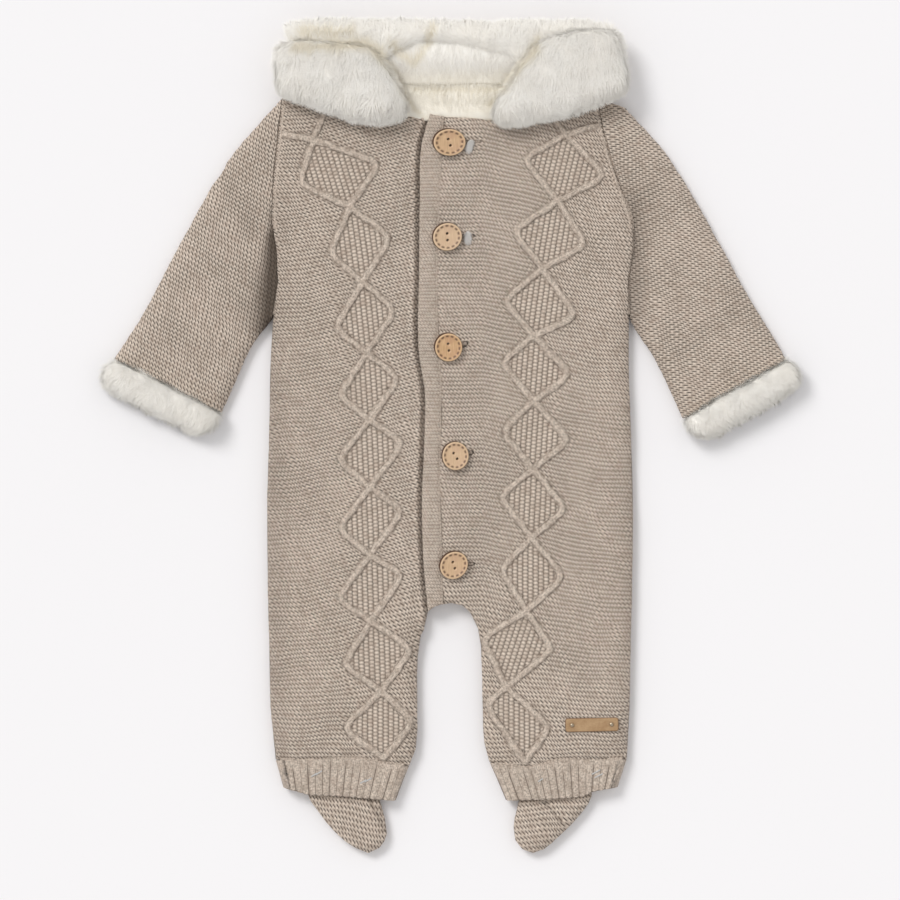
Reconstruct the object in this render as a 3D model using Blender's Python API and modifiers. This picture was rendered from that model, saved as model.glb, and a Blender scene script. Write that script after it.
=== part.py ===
"""Baby's knitted snowsuit with a fur-lined hood, laid flat with its front up.

The tables and sizes are in millimetres. X runs across the suit, Y runs from the feet to the hood and
Z rises from the surface that the suit lies on. Right and left are the wearer's: the right is at -X.
Each cloth wall is knitting with its plush lining.
"""

import math

import bmesh
import bpy
import numpy as np
from mathutils import Matrix, Vector
from mathutils.geometry import delaunay_2d_cdt

MM = 0.001
GAP = 0.3
SUIT = "snowsuit"

# Heights of the layers, from the surface that the suit lies on.
BACK_TOP = 7.0
FRONT_BOTTOM = BACK_TOP + GAP
FRONT_TOP = 14.3
UNDERLAP_TOP = 11.3
OVERLAP_BOTTOM = UNDERLAP_TOP + GAP
OVERLAP_TOP = 16.1
BAND_TOP = 16.4
SLEEVE_HEIGHT = 13.0
SLEEVE_WALL = 6.0
SLIT = 1.0
RIB_HEIGHT = 12.6
RIB_WALL = 3.35
FOOT_HEIGHT = 12.2
# The least thickness that rounding leaves at an edge.
THINNEST = 1.5

# Cables: plain ridges that cross to make a column of diamonds.
CABLE_HEIGHT = 2.0
CABLE_CROWN = 1.0
CABLE_HALF_WIDTH = 2.7
CABLE_EDGES = [
    # out from the cable's middle, cut back at its ends
    (CABLE_CROWN, 1.0),
    (CABLE_HALF_WIDTH, 3.6),
]
DIAMOND_CORNER = 7.0
DIAMOND_SINK = 0.6

# Fur trim round the hood, and the plush inside it.
SHELL_TOP = 5.0
LINING_TOP = 16.4
TRIM_BOTTOM = LINING_TOP + GAP
TRIM_HEIGHT = 24.0
BACK_TRIM_HEIGHT = 18.0

# How an edge rounds off: (width of the rounding, how far the surface falls at the edge).
ROUNDING = {
    "fold": (9.0, 5.5),
    "seam": (4.5, 2.2),
    "cut": (2.2, 1.0),
    "fur": (26.0, 17.0),
    "plush": (6.0, 3.0),
}
UNDER_ROUNDING = {"fold": (7.0, 4.0), "fur": (6.0, 3.4)}

# Buttons, their threads and their holes in the cloth.
BUTTON_RADIUS = 10.5
BUTTON_HEIGHT = 3.4
BUTTON_FLOOR = 2.5
BUTTON_RIM = 1.9
BUTTON_DISH = 1.2
BUTTON_LIP = 0.7
BUTTON_FOOT = 1.6
BUTTON_HOLE_RADIUS = 1.1
BUTTON_HOLE_APART = 5.0
BUTTON_LIFT = 1.4
THREAD_RADIUS = 1.2
SLOT_HALF_WIDTH = 1.6
SLOT_BEHIND = 3.0
SLOT_CORNER = 1.0

# Plate on the left leg.
PLATE_SIZE = (40.0, 10.4)
PLATE_CENTRE = (106.0, -215.0)
PLATE_CORNER = 2.0
PLATE_HEIGHT = 1.2
PLATE_TURN = math.radians(1.2)
RIVET_RADIUS = 1.5
RIVET_HEIGHT = 0.8
RIVET_APART = 29.6

# Seams and edges of the body, each from its upper end down: (x, y).
RAGLAN_RIGHT = [
    (-126.5, 255.0),
    (-128.8, 233.0),
    (-131.0, 210.0),
    (-133.4, 187.0),
    (-134.0, 164.0),
    (-130.6, 142.0),
    (-129.6, 118.0),
    (-133.5, 88.5),
]
RAGLAN_LEFT = [
    (110.0, 255.0),
    (114.0, 233.0),
    (120.5, 210.0),
    (128.5, 187.0),
    (136.5, 164.0),
    (136.8, 142.0),
    (133.4, 118.0),
    (133.9, 88.5),
]
SIDE_RIGHT = [
    (-133.5, 88.5),
    (-135.4, 51.0),
    (-136.1, 6.0),
    (-137.6, -45.0),
    (-137.4, -100.0),
    (-136.1, -159.0),
    (-135.2, -200.0),
    (-131.3, -241.5),
]
SIDE_LEFT = [
    (133.9, 88.5),
    (133.9, 51.0),
    (135.4, 6.0),
    (136.9, -45.0),
    (136.5, -100.0),
    (135.2, -159.0),
    (134.6, -200.0),
    (132.4, -240.8),
]
# Hems, where the ankle ribs join, from the outer side to the inner: (x, y).
HEM_RIGHT = [(-131.3, -241.5), (-100.0, -240.4), (-69.6, -239.6), (-53.1, -243.0), (-31.1, -246.0)]
HEM_LEFT = [(132.4, -240.8), (102.4, -240.8), (80.6, -241.5), (58.1, -247.2), (29.3, -243.4)]
# Inner legs, from the hem up to the crotch: (x, y).
INNER_LEG_RIGHT = [
    (-31.1, -246.0),
    (-26.4, -234.0),
    (-25.1, -205.0),
    (-24.7, -165.0),
    (-22.9, -148.0),
    (-16.9, -130.0),
]
INNER_LEG_LEFT = [
    (29.3, -243.4),
    (25.4, -229.0),
    (24.2, -204.0),
    (23.4, -170.0),
    (20.6, -143.0),
    (14.5, -130.5),
]
CROTCH = [(-16.9, -130.0), (-11.5, -126.4), (-6.2, -124.6), (1.1, -123.8), (8.5, -125.4), (14.5, -130.5)]
# The band along the left front's edge, and the seam that joins it on, from the neck down: (x, y).
BAND_EDGE = [
    (-15.4, 243.0),
    (-21.4, 222.0),
    (-23.0, 180.0),
    (-23.6, 124.0),
    (-23.1, 58.0),
    (-19.3, 36.0),
    (-19.4, 5.0),
    (-21.4, -46.0),
    (-19.9, -99.0),
    (-16.9, -130.0),
]
BAND_SEAM = [
    (-5.6, 241.2),
    (-7.2, 208.0),
    (-8.8, 178.0),
    (-10.4, 132.0),
    (-10.2, 88.0),
    (-7.6, 45.0),
    (-7.6, 8.0),
    (-8.7, -39.0),
    (-7.4, -70.0),
    (-6.2, -124.6),
]
# The under-lap's free edge, from the crotch to the neck.
UNDERLAP_EDGE = [(8.5, -125.4), (12.0, -118.0), (12.0, 238.5)]
# Where the left front's under side and then its upper side step down past the under-lap.
STEP_START_X = 16.0
STEP_END_X = 23.0
STEP_SOFT_X = 29.0
# Where the right front steps down to the under-lap: clear of the band's edge, and how wide the step is.
DROP_CLEAR = 1.4
DROP_WIDTH = 6.0
# Necklines, from the middle out: (x, y).
NECK_RIGHT = [
    (12.0, 238.5),
    (-16.0, 239.5),
    (-40.0, 242.5),
    (-70.0, 248.5),
    (-100.0, 253.5),
    (-126.5, 255.0),
]
NECK_LEFT = [(-5.6, 241.2), (22.0, 239.3), (44.6, 236.5), (62.0, 241.0), (84.0, 248.5), (110.0, 255.0)]
NECK_BACK = [
    (110.0, 255.0),
    (80.0, 260.0),
    (40.0, 262.0),
    (0.0, 262.5),
    (-45.0, 262.0),
    (-90.0, 259.5),
    (-126.5, 255.0),
]

# Cable columns: where the cables first cross, then a row for each diamond.
COLUMN_RIGHT_START = (-102.8, 223.8)
COLUMN_RIGHT = [
    # left x, left y, right x, right y, foot x, foot y
    (-113.6, 190.8, -53.2, 206.2, -75.4, 173.2),
    (-90.6, 138.0, -44.4, 150.0, -65.9, 117.0),
    (-86.9, 82.5, -41.4, 96.0, -62.9, 63.3),
    (-83.6, 31.7, -38.1, 45.2, -60.6, 13.5),
    (-84.4, -16.0, -35.3, -3.8, -60.4, -37.2),
    (-84.4, -67.9, -35.6, -54.5, -60.6, -88.0),
    (-85.0, -120.5, -35.6, -102.3, -59.6, -137.7),
    (-80.6, -170.3, -29.0, -157.8, -51.4, -190.0),
    (-80.6, -217.5, -27.8, -213.0, -49.9, -240.5),
]
COLUMN_RIGHT_TAILS = [[(-102.8, 223.8), (-125.0, 227.6)], [(-102.8, 223.8), (-95.6, 242.0)]]
COLUMN_LEFT_START = (86.2, 227.6)
COLUMN_LEFT = [
    # left x, left y, right x, right y, foot x, foot y
    (54.8, 209.5, 116.4, 196.3, 80.6, 177.6),
    (46.5, 155.6, 101.6, 144.6, 69.1, 127.0),
    (39.9, 102.8, 94.4, 91.0, 62.8, 76.7),
    (37.9, 56.6, 90.1, 47.0, 62.3, 27.9),
    (38.4, 5.0, 89.1, -1.7, 61.8, -23.3),
    (37.0, -44.0, 86.6, -53.5, 60.9, -74.6),
    (37.4, -98.5, 84.8, -104.3, 57.1, -130.0),
    (23.6, -150.2, 76.7, -158.7, 41.9, -186.8),
    (25.9, -200.0, 74.9, -216.5, 55.9, -243.0),
]
COLUMN_LEFT_TAILS = [[(86.2, 227.6), (77.3, 240.0)], [(86.2, 227.6), (108.0, 234.0)]]

# Sleeves: outer and inner edges from the shoulder to the cuff: (x, y).
SLEEVE_RIGHT_OUTER = [
    (-126.5, 255.0),
    (-148.9, 231.0),
    (-172.1, 201.0),
    (-190.1, 171.0),
    (-205.9, 141.0),
    (-221.6, 111.0),
    (-239.0, 81.0),
    (-252.2, 59.6),
]
SLEEVE_RIGHT_INNER = [(-133.5, 88.5), (-149.6, 68.3), (-159.0, 48.5), (-172.1, 18.8)]
SLEEVE_LEFT_OUTER = [
    (110.0, 255.0),
    (129.0, 250.0),
    (147.4, 231.0),
    (170.6, 201.0),
    (188.6, 171.0),
    (205.1, 141.0),
    (221.6, 111.0),
    (238.9, 81.0),
    (251.8, 58.9),
]
SLEEVE_LEFT_INNER = [(133.9, 88.5), (151.1, 63.0), (163.1, 39.0), (174.6, 14.6)]
SLEEVE_STATIONS = 12
SLEEVE_INNER_STATIONS = 4
# Soft troughs in the sleeves' upper side.
SLEEVE_FOLDS = [
    # from x, from y, to x, to y, half width, depth
    (-172.0, 198.0, -140.0, 155.0, 11.0, 1.8),
    (-146.0, 150.0, -146.0, 88.0, 15.0, 3.2),
    (-190.0, 110.0, -158.0, 92.0, 10.0, 1.3),
    (146.0, 182.0, 148.0, 90.0, 12.0, 3.2),
    (196.0, 112.0, 166.0, 84.0, 10.0, 1.3),
]
# Fur cuffs: a row for each section, from the sleeve's end outwards.
CUFF_SECTIONS = [
    # along, outer side grows, inner side grows, height, slit bottom, slit top
    (0.0, 0.4, 0.4, 15.0, 6.0, 7.2),
    (4.0, 3.4, 2.4, 20.5, 6.0, 7.6),
    (10.5, 5.2, 2.4, 23.0, 6.0, 8.2),
    (17.0, 4.8, 0.0, 21.0, 5.8, 8.6),
    (21.5, 0.5, -5.5, 16.5, 5.2, 8.4),
    (24.0, -7.0, -13.0, 11.0, 4.2, 7.4),
]
CUFF_WALL = 9.0
CUFF_ROUNDING = 9.0
CUFF_SHARES = (0.16, 0.33, 0.5, 0.67, 0.84)

# Ankle ribs: the lower edge of each, from the outer side to the inner: (x, y).
RIB_FOOT_RIGHT = [(-125.6, -262.5), (-106.4, -268.0), (-80.6, -269.3), (-52.9, -271.5), (-40.9, -272.6)]
RIB_FOOT_LEFT = [(125.6, -262.1), (106.9, -265.5), (100.0, -269.3), (73.9, -271.5), (41.3, -272.3)]
RIB_COUNT = 15
RIB_DEPTH = 1.7
RIB_MARGIN = 0.06
RIB_FLANKS = (0.0, 0.3, 0.7)
# The hollow in a rib is a slit, but for the stretch of X that its foot comes through.
RIB_ROOM_RIGHT = (-110.5, -50.5)
RIB_ROOM_LEFT = (49.0, 108.5)
RIB_ROOM_SOFT = 6.0

# Feet, from the outer side round the toe to the inner side: (x, y).
FOOT_RIGHT = [
    (-103.0, -246.0),
    (-105.0, -256.0),
    (-108.0, -265.5),
    (-99.4, -280.5),
    (-87.4, -295.5),
    (-72.0, -307.8),
    (-61.9, -311.8),
    (-53.4, -308.0),
    (-47.8, -297.0),
    (-49.4, -286.0),
    (-53.4, -271.0),
    (-55.4, -256.0),
    (-58.0, -247.0),
]
FOOT_LEFT = [
    (60.0, -250.0),
    (53.4, -258.0),
    (51.4, -272.3),
    (47.4, -292.5),
    (48.6, -302.0),
    (54.0, -309.0),
    (61.9, -311.8),
    (70.0, -309.0),
    (80.6, -300.0),
    (94.9, -285.8),
    (106.0, -268.8),
    (105.0, -256.0),
    (101.0, -246.0),
]
FOOT_MIDDLE = 6.2
FOOT_IN_RIB = (3.65, 8.95)
FOOT_SWELL = 9.0
FOOT_LEVELS = (0.8, 4.5, 9.8)

# Hood: the knitted shell that lies underneath, sewn to the back's neckline, and the plush on it.
HOOD_NECK_SEAM = 0.4
HOOD_SHELL_RIM = [
    (110.0, 255.4),
    (121.0, 260.0),
    (127.0, 272.0),
    (125.0, 292.0),
    (116.0, 303.0),
    (70.0, 307.0),
    (0.0, 308.0),
    (-70.0, 307.0),
    (-119.0, 303.0),
    (-127.0, 291.0),
    (-129.8, 272.0),
    (-126.5, 255.4),
]
SHELL_UNDER_SHARE = 0.5
LINING_INSET = 1.6
NECK_LINING = [
    (-43.0, 245.8),
    (-20.0, 244.4),
    (0.0, 244.2),
    (22.0, 244.4),
    (45.0, 245.2),
    (46.5, 252.0),
    (45.5, 259.0),
    (41.0, 262.0),
    (20.0, 263.0),
    (0.0, 263.2),
    (-20.0, 263.0),
    (-40.0, 262.0),
    (-44.5, 259.0),
    (-45.5, 252.0),
    (-43.0, 245.8),
]
NECK_LINING_TOP = 13.5
# Where the three stretches of trim meet: (x, y).
TRIM_JOIN_RIGHT = [
    (-125.4, 302.6),
    (-113.0, 297.0),
    (-90.0, 295.0),
    (-70.0, 294.4),
    (-58.0, 291.0),
    (-50.0, 284.4),
]
TRIM_JOIN_LEFT = [(51.5, 283.0), (59.0, 291.0), (68.0, 296.4), (84.0, 301.0), (104.0, 303.4), (122.0, 303.0)]
TRIM_RIGHT_OUTER = [
    (-125.4, 302.6),
    (-129.6, 293.0),
    (-133.3, 276.0),
    (-132.0, 264.0),
    (-126.0, 256.4),
    (-113.0, 251.0),
    (-97.0, 246.0),
    (-76.0, 239.6),
    (-60.0, 235.0),
    (-49.0, 233.4),
    (-38.0, 236.0),
    (-26.0, 240.6),
    (-27.6, 248.6),
    (-35.0, 260.0),
    (-42.0, 275.0),
    (-50.0, 284.4),
]
TRIM_LEFT_OUTER = [
    (51.5, 283.0),
    (43.0, 268.0),
    (32.6, 253.0),
    (29.6, 243.0),
    (33.6, 236.0),
    (43.0, 233.2),
    (67.1, 237.2),
    (93.4, 242.8),
    (115.9, 250.8),
    (129.0, 256.2),
    (133.4, 265.0),
    (131.6, 280.0),
    (128.0, 295.0),
    (122.0, 303.0),
]
TRIM_BACK_TOP = [
    (122.0, 303.0),
    (115.0, 307.8),
    (74.6, 311.3),
    (20.0, 310.8),
    (-30.0, 311.5),
    (-75.4, 311.9),
    (-116.0, 307.6),
    (-125.4, 302.6),
]
TRIM_BACK_BOTTOM = [
    (-50.0, 284.4),
    (-38.0, 285.4),
    (-27.0, 291.6),
    (-12.0, 294.6),
    (10.0, 291.0),
    (30.0, 286.0),
    (51.5, 283.0),
]

BUTTONS = [
    # x, y, tilt in degrees, direction of the tilt, direction of the holes, end of the buttonhole x, its y
    (-0.9, 221.4, 5.0, 70.0, -73.4, 23.6, 222.4),
    (-2.2, 150.5, 2.0, 200.0, -85.7, 18.4, 151.3),
    (-1.4, 68.0, 4.0, 10.0, -82.6, 13.4, 71.0),
    (3.8, -13.7, 4.0, 190.0, -55.7, 17.6, -10.6),
    (2.6, -95.3, 3.0, 20.0, -69.2, 18.4, -94.2),
]

COLOURS = {
    # linear red, green and blue, roughness, metallic
    "knit": ((0.44, 0.36, 0.29), 0.95, 0.0),
    "fur": ((0.86, 0.84, 0.78), 0.9, 0.0),
    "wood": ((0.55, 0.36, 0.20), 0.5, 0.0),
    "thread": ((0.50, 0.42, 0.34), 0.9, 0.0),
    "plate_tan": ((0.50, 0.33, 0.19), 0.55, 0.0),
    "rivet": ((0.55, 0.45, 0.32), 0.35, 1.0),
}

# How far apart points are along the edges and over the surfaces, and round the side of a flat tube.
EDGE_STEP = 13.0
GRID_STEP = 21.0
SIDE_ANGLES = (-90, -50, 0, 50, 90)


# Lines in the plane


def arc_length(points):
    """How far along the line each of its points is."""
    return np.concatenate([[0.0], np.cumsum(np.linalg.norm(np.diff(points, axis=0), axis=1))])


def smooth(table, step=EDGE_STEP):
    """Points about step apart on a smooth curve through the table's points."""
    points = np.array(table, float)
    along = arc_length(points)
    slope = np.gradient(points, along, axis=0)
    line = []
    for i in range(len(points) - 1):
        length = along[i + 1] - along[i]
        count = max(1, round(length / step))
        for t in np.arange(count) / count:
            a, b = 2 * t**3 - 3 * t**2 + 1, t**3 - 2 * t**2 + t
            c, d = 3 * t**2 - 2 * t**3, t**3 - t**2
            ends = a * points[i] + c * points[i + 1]
            line.append(ends + length * (b * slope[i] + d * slope[i + 1]))
    return np.array(line + [points[-1]])


def straight(table, step=EDGE_STEP):
    """Points about step apart on the straight lines between the table's points."""
    points = np.array(table, float)
    line = []
    for start, end in zip(points[:-1], points[1:]):
        count = max(1, round(np.linalg.norm(end - start) / step))
        line += [start + (end - start) * k / count for k in range(count)]
    return np.array(line + [points[-1]])


def along_line(points, share):
    """The point at that share of the line's length."""
    along = arc_length(points)
    at = np.asarray(share) * along[-1]
    return np.stack([np.interp(at, along, points[:, k]) for k in range(2)], axis=-1)


def shifted(table, dx, dy=0.0):
    return [(x + dx, y + dy) for x, y in table]


def backwards(points):
    return points[::-1]


def distance(xy, line):
    """From each point to the nearest point of the line."""
    start, step = line[:-1], np.diff(line, axis=0)
    t = ((xy[:, None] - start) * step).sum(2) / (step * step).sum(1)
    nearest = start + np.clip(t, 0, 1)[..., None] * step
    return np.linalg.norm(xy[:, None] - nearest, axis=2).min(1)


def inside(xy, loop):
    """Whether each point is inside the closed loop."""
    start, end = loop, np.roll(loop, -1, axis=0)
    x, y = xy[:, None, 0], xy[:, None, 1]
    spans = (start[:, 1] > y) != (end[:, 1] > y)
    rise = np.where(end[:, 1] == start[:, 1], 1.0, end[:, 1] - start[:, 1])
    crossing = start[:, 0] + (y - start[:, 1]) * (end[:, 0] - start[:, 0]) / rise
    return (spans & (x < crossing)).sum(1) % 2 == 1


def inward(loop, inset):
    """The loop's points moved in, where the loop has room for them."""
    tangent = np.roll(loop, -1, axis=0) - np.roll(loop, 1, axis=0)
    normal = np.stack([-tangent[:, 1], tangent[:, 0]], axis=1)
    normal /= np.linalg.norm(normal, axis=1)[:, None]
    moved = loop + normal * inset
    closed = np.vstack([loop, loop[:1]])
    return moved[inside(moved, loop) & (distance(moved, closed) > 0.85 * inset)]


def parallel(line, offset, trim):
    """The line moved sideways, with both its ends cut back."""
    along = arc_length(line)
    start, end = trim, along[-1] - trim
    kept = along[(along > start + 1.0) & (along < end - 1.0)]
    at = np.concatenate([[start], kept, [end]])
    points = along_line(line, at / along[-1])
    tangent = np.gradient(points, at, axis=0)
    normal = np.stack([-tangent[:, 1], tangent[:, 0]], axis=1)
    normal /= np.linalg.norm(normal, axis=1)[:, None]
    return points + normal * offset


class Outline:
    """A closed outline, anticlockwise, of stretches that each round off in their own way."""

    def __init__(self, *stretches):
        self.stretches = stretches
        self.loop = np.concatenate([points[:-1] for _, points in stretches])

    def fall(self, xy, rounding):
        """How far the surface has fallen at each point, because of the edges near it."""
        total = np.zeros(len(xy))
        for kind, points in self.stretches:
            width, drop = rounding.get(kind, (1.0, 0.0))
            near = np.clip(1 - distance(xy, points) / width, 0, 1)
            total = np.maximum(total, drop * (1 - np.sqrt(1 - near**2)))
        return total

    def over(self, level):
        """The upper surface: that level, rounded off at the edges."""
        return lambda xy: level_at(level, xy) - self.fall(xy, ROUNDING)

    def under(self, level):
        """The lower surface: that level, rounded up at the edges."""
        return lambda xy: level_at(level, xy) + self.fall(xy, UNDER_ROUNDING)


def level_at(level, xy):
    """The height of a surface, given as a number or as a function, at each point."""
    return level(xy) if callable(level) else np.full(len(xy), level)


# Solids


def material(name):
    found = bpy.data.materials.get(name)
    if found:
        return found
    colour, roughness, metallic = COLOURS[name]
    made = bpy.data.materials.new(name)
    made.use_nodes = True
    shader = made.node_tree.nodes["Principled BSDF"]
    shader.inputs["Base Color"].default_value = (*colour, 1.0)
    shader.inputs["Roughness"].default_value = roughness
    shader.inputs["Metallic"].default_value = metallic
    return made


def add_object(name, mesh, finish, collection=SUIT):
    made = bpy.data.objects.new(name, mesh)
    mesh.materials.clear()
    mesh.materials.append(material(finish))
    bpy.data.collections[collection].objects.link(made)
    return made


def solid(name, points, faces, finish):
    """A closed solid from points in millimetres, with its faces turned outwards."""
    bm = bmesh.new()
    for point in points:
        bm.verts.new(Vector(point) * MM)
    bm.verts.ensure_lookup_table()
    for face in faces:
        bm.faces.new([bm.verts[i] for i in face])
    loose = [v for v in bm.verts if not v.link_faces]
    bmesh.ops.delete(bm, geom=loose, context="VERTS")
    bmesh.ops.recalc_face_normals(bm, faces=bm.faces)
    mesh = bpy.data.meshes.new(name)
    bm.to_mesh(mesh)
    bm.free()
    mesh.shade_smooth()
    mesh.set_sharp_from_angle(angle=math.radians(60))
    return add_object(name, mesh, finish)


def spaced_grid(loop, step, clear):
    """Points in rows across the loop, that far clear of it."""
    low, high = loop.min(0), loop.max(0)
    rows = np.arange(low[1], high[1], step * math.sqrt(0.75))
    points = [
        (x + (i % 2) * step / 2, y)
        for i, y in enumerate(rows)
        for x in np.arange(low[0], high[0], step)
    ]
    points = np.array(points)
    closed = np.vstack([loop, loop[:1]])
    return points[inside(points, loop) & (distance(points, closed) > clear)]


def triangulate(loops, points, lines):
    """Triangles inside the first loop and outside the others, through the points and along the lines."""
    coords, edges, regions = [], [], []
    for loop in loops:
        regions.append(list(range(len(coords), len(coords) + len(loop))))
        coords += [tuple(p) for p in loop]
    rim_count = len(coords)
    for line in lines:
        edges += [(len(coords) + k, len(coords) + k + 1) for k in range(len(line) - 1)]
        coords += [tuple(p) for p in line]
    coords += [tuple(p) for p in points]
    result = delaunay_2d_cdt([Vector(c) for c in coords], edges, regions, 1, 1e-5, True)
    made, faces, origins, face_regions = result[0], result[2], result[3], result[5]
    xy = np.array([(v.x, v.y) for v in made])
    kept = [face for face, found in zip(faces, face_regions) if list(found) == [0]]
    new_index = {old: new for new, olds in enumerate(origins) for old in olds}
    return xy, np.array(kept), [new_index[i] for i in range(rim_count)]


def clear_lines(lines, loops, clear=1.0):
    """The stretches of the lines that stay inside the first loop, clear of every edge."""
    stretches = []
    for line in lines:
        run = [line[0]]
        for start, end in zip(line[:-1], line[1:]):
            tried = start + (end - start) * np.linspace(0, 1, 15)[:, None]
            good = inside(tried, loops[0]).all()
            for loop in loops:
                good &= distance(tried, np.vstack([loop, loop[:1]])).min() > clear
            for hole in loops[1:]:
                good &= not inside(tried, hole).any()
            if good:
                run.append(end)
            else:
                stretches.append(run)
                run = [end]
        stretches.append(run)
    return [np.array(run) for run in stretches if len(run) >= 2]


def layer(name, outline, top, bottom, finish, **shape):
    """A flat piece of cloth between two surfaces, each a height or a function of the points.

    holes are loops cut through it, top_lines and bottom_lines are followed by the triangles, and
    insets and under_insets are how far in from the edge each surface has its rows of points.
    """
    loops = [outline.loop] + list(shape.get("holes", ()))
    grid_step = shape.get("grid_step", GRID_STEP)
    sides = []
    for surface, lines, insets, step in (
        (top, shape.get("top_lines", ()), shape.get("insets", (1.8, 6.5)), grid_step),
        (bottom, shape.get("bottom_lines", ()), shape.get("under_insets", ()), 4 * grid_step),
    ):
        lines = clear_lines(lines, loops)
        points = [inward(outline.loop, inset) for inset in insets]
        points.append(spaced_grid(outline.loop, step, max(insets, default=1.0) + 0.4 * step))
        points = np.vstack(points)
        for followed in lines + [np.vstack([hole, hole[:1]]) for hole in loops[1:]]:
            points = points[distance(points, followed) > 1.6]
        for hole in loops[1:]:
            points = points[~inside(points, hole)]
        xy, faces, rim = triangulate(loops, points, lines)
        sides.append((np.column_stack([xy, level_at(surface, xy)]), faces, rim))
    (upper, upper_faces, upper_rim), (lower, lower_faces, lower_rim) = sides
    offset = len(upper)
    faces = upper_faces.tolist() + (lower_faces[:, ::-1] + offset).tolist()
    first = 0
    for loop in loops:
        count = len(loop)
        for k in range(count):
            a, b = first + k, first + (k + 1) % count
            faces.append((upper_rim[a], lower_rim[a] + offset, lower_rim[b] + offset, upper_rim[b]))
        first += count
    return solid(name, np.vstack([upper, lower]), faces, finish)


def tube(name, outer, inner, finish):
    """A tube with a wall between outer and inner sections, each a list of rings of points."""
    points, faces = [], []
    ends = []
    for sections in (outer, inner):
        first = len(points)
        for ring in sections:
            points += [tuple(p) for p in ring]
        count = len(sections[0])
        for s in range(len(sections) - 1):
            row = first + s * count
            for k in range(count):
                n = (k + 1) % count
                faces.append((row + k, row + n, row + count + n, row + count + k))
        ends.append((first, first + (len(sections) - 1) * count))
    for outer_row, inner_row in zip(*ends):
        for k in range(count):
            n = (k + 1) % count
            faces.append((outer_row + k, outer_row + n, inner_row + n, inner_row + k))
    return solid(name, points, faces, finish)


def flat_ring(width, shares, inset, low, high, radius):
    """(share of the width, height) round a tube pressed flat, with rounded sides."""
    middle, half = (low + high) / 2, (high - low) / 2
    side = []
    for turn in np.radians(SIDE_ANGLES):
        side.append(((inset + radius * (1 - np.cos(turn))) / width, middle + half * np.sin(turn)))
    other_side = [(1 - share, height) for share, height in reversed(side)]
    top = [(share, high) for share in shares]
    bottom = [(share, low) for share in reversed(shares)]
    return side + top + other_side + bottom


# Cloth pieces


def cable_lines(start, column, tails):
    """The middle lines of a column of diamonds and of the cables above it."""
    lines = [straight(tail, 9.0) for tail in tails]
    top = np.array(start)
    for left_x, left_y, right_x, right_y, foot_x, foot_y in column:
        foot = np.array((foot_x, foot_y))
        for corner in (np.array((left_x, left_y)), np.array((right_x, right_y))):
            before = corner + (top - corner) * DIAMOND_CORNER / np.linalg.norm(top - corner)
            after = corner + (foot - corner) * DIAMOND_CORNER / np.linalg.norm(foot - corner)
            turn = (before + after + 2 * corner) / 4
            lines.append(straight([top, before, turn, after, foot], 16.0))
        top = foot
    return lines


def cable_relief(xy, lines, start, column):
    """Height that the cables add at each point, and that the diamonds between them take off."""
    near = np.min([distance(xy, line) for line in lines], axis=0)
    ridge = np.clip((CABLE_HALF_WIDTH - near) / (CABLE_HALF_WIDTH - CABLE_CROWN), 0, 1)
    top = start
    sunk = np.full(len(xy), False)
    for left_x, left_y, right_x, right_y, foot_x, foot_y in column:
        sunk |= inside(xy, np.array([top, (left_x, left_y), (foot_x, foot_y), (right_x, right_y)]))
        top = (foot_x, foot_y)
    return CABLE_HEIGHT * ridge - DIAMOND_SINK * (1 - ridge) * sunk


def cable_edges(lines):
    """The crown and the feet of each cable."""
    followed = []
    for line in lines:
        for offset, trim in CABLE_EDGES:
            followed += [parallel(line, side * offset, trim) for side in (-1, 1)]
    return followed


def back_panel():
    outline = Outline(
        ("seam", straight(RAGLAN_RIGHT)),
        ("fold", smooth(SIDE_RIGHT)),
        ("seam", straight(HEM_RIGHT)),
        ("fold", smooth(INNER_LEG_RIGHT)),
        ("fold", smooth(CROTCH, 6.0)),
        ("fold", backwards(smooth(INNER_LEG_LEFT))),
        ("seam", backwards(straight(HEM_LEFT))),
        ("fold", backwards(smooth(SIDE_LEFT))),
        ("seam", backwards(straight(RAGLAN_LEFT))),
        ("seam", smooth(NECK_BACK)),
    )
    layer(
        "back_panel", outline, BACK_TOP, outline.under(0.0), "knit",
        insets=(), grid_step=60.0, under_insets=(2.0, 7.0),
    )


def front_right():
    outline = Outline(
        ("seam", straight(RAGLAN_RIGHT)),
        ("fold", smooth(SIDE_RIGHT)),
        ("seam", straight(HEM_RIGHT)),
        ("fold", smooth(INNER_LEG_RIGHT)),
        ("cut", smooth(CROTCH[:-1], 6.0)),
        ("cut", straight(UNDERLAP_EDGE, 26.0)),
        ("cut", smooth(NECK_RIGHT)),
    )
    cables = cable_lines(COLUMN_RIGHT_START, COLUMN_RIGHT, COLUMN_RIGHT_TAILS)
    band_edge = smooth(BAND_EDGE, 11.0)
    edge_x, edge_y = backwards(band_edge).T

    def top(xy):
        """The front drops to the under-lap's height before the band that covers it."""
        before_band = np.interp(xy[:, 1], edge_y, edge_x) - xy[:, 0]
        rise = np.clip((before_band - DROP_CLEAR) / DROP_WIDTH, 0, 1)
        level = UNDERLAP_TOP + (FRONT_TOP - UNDERLAP_TOP) * rise
        surface = np.where(rise > 0, level - outline.fall(xy, ROUNDING), UNDERLAP_TOP)
        relief = cable_relief(xy, cables, COLUMN_RIGHT_START, COLUMN_RIGHT)
        return np.maximum(surface, FRONT_BOTTOM + THINNEST) + relief

    drop = [band_edge - (DROP_CLEAR + share * DROP_WIDTH, 0.0) for share in (0.0, 0.45, 1.0)]
    layer(
        "front_right", outline, top, FRONT_BOTTOM, "knit",
        top_lines=cable_edges(cables) + drop,
    )


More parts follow.
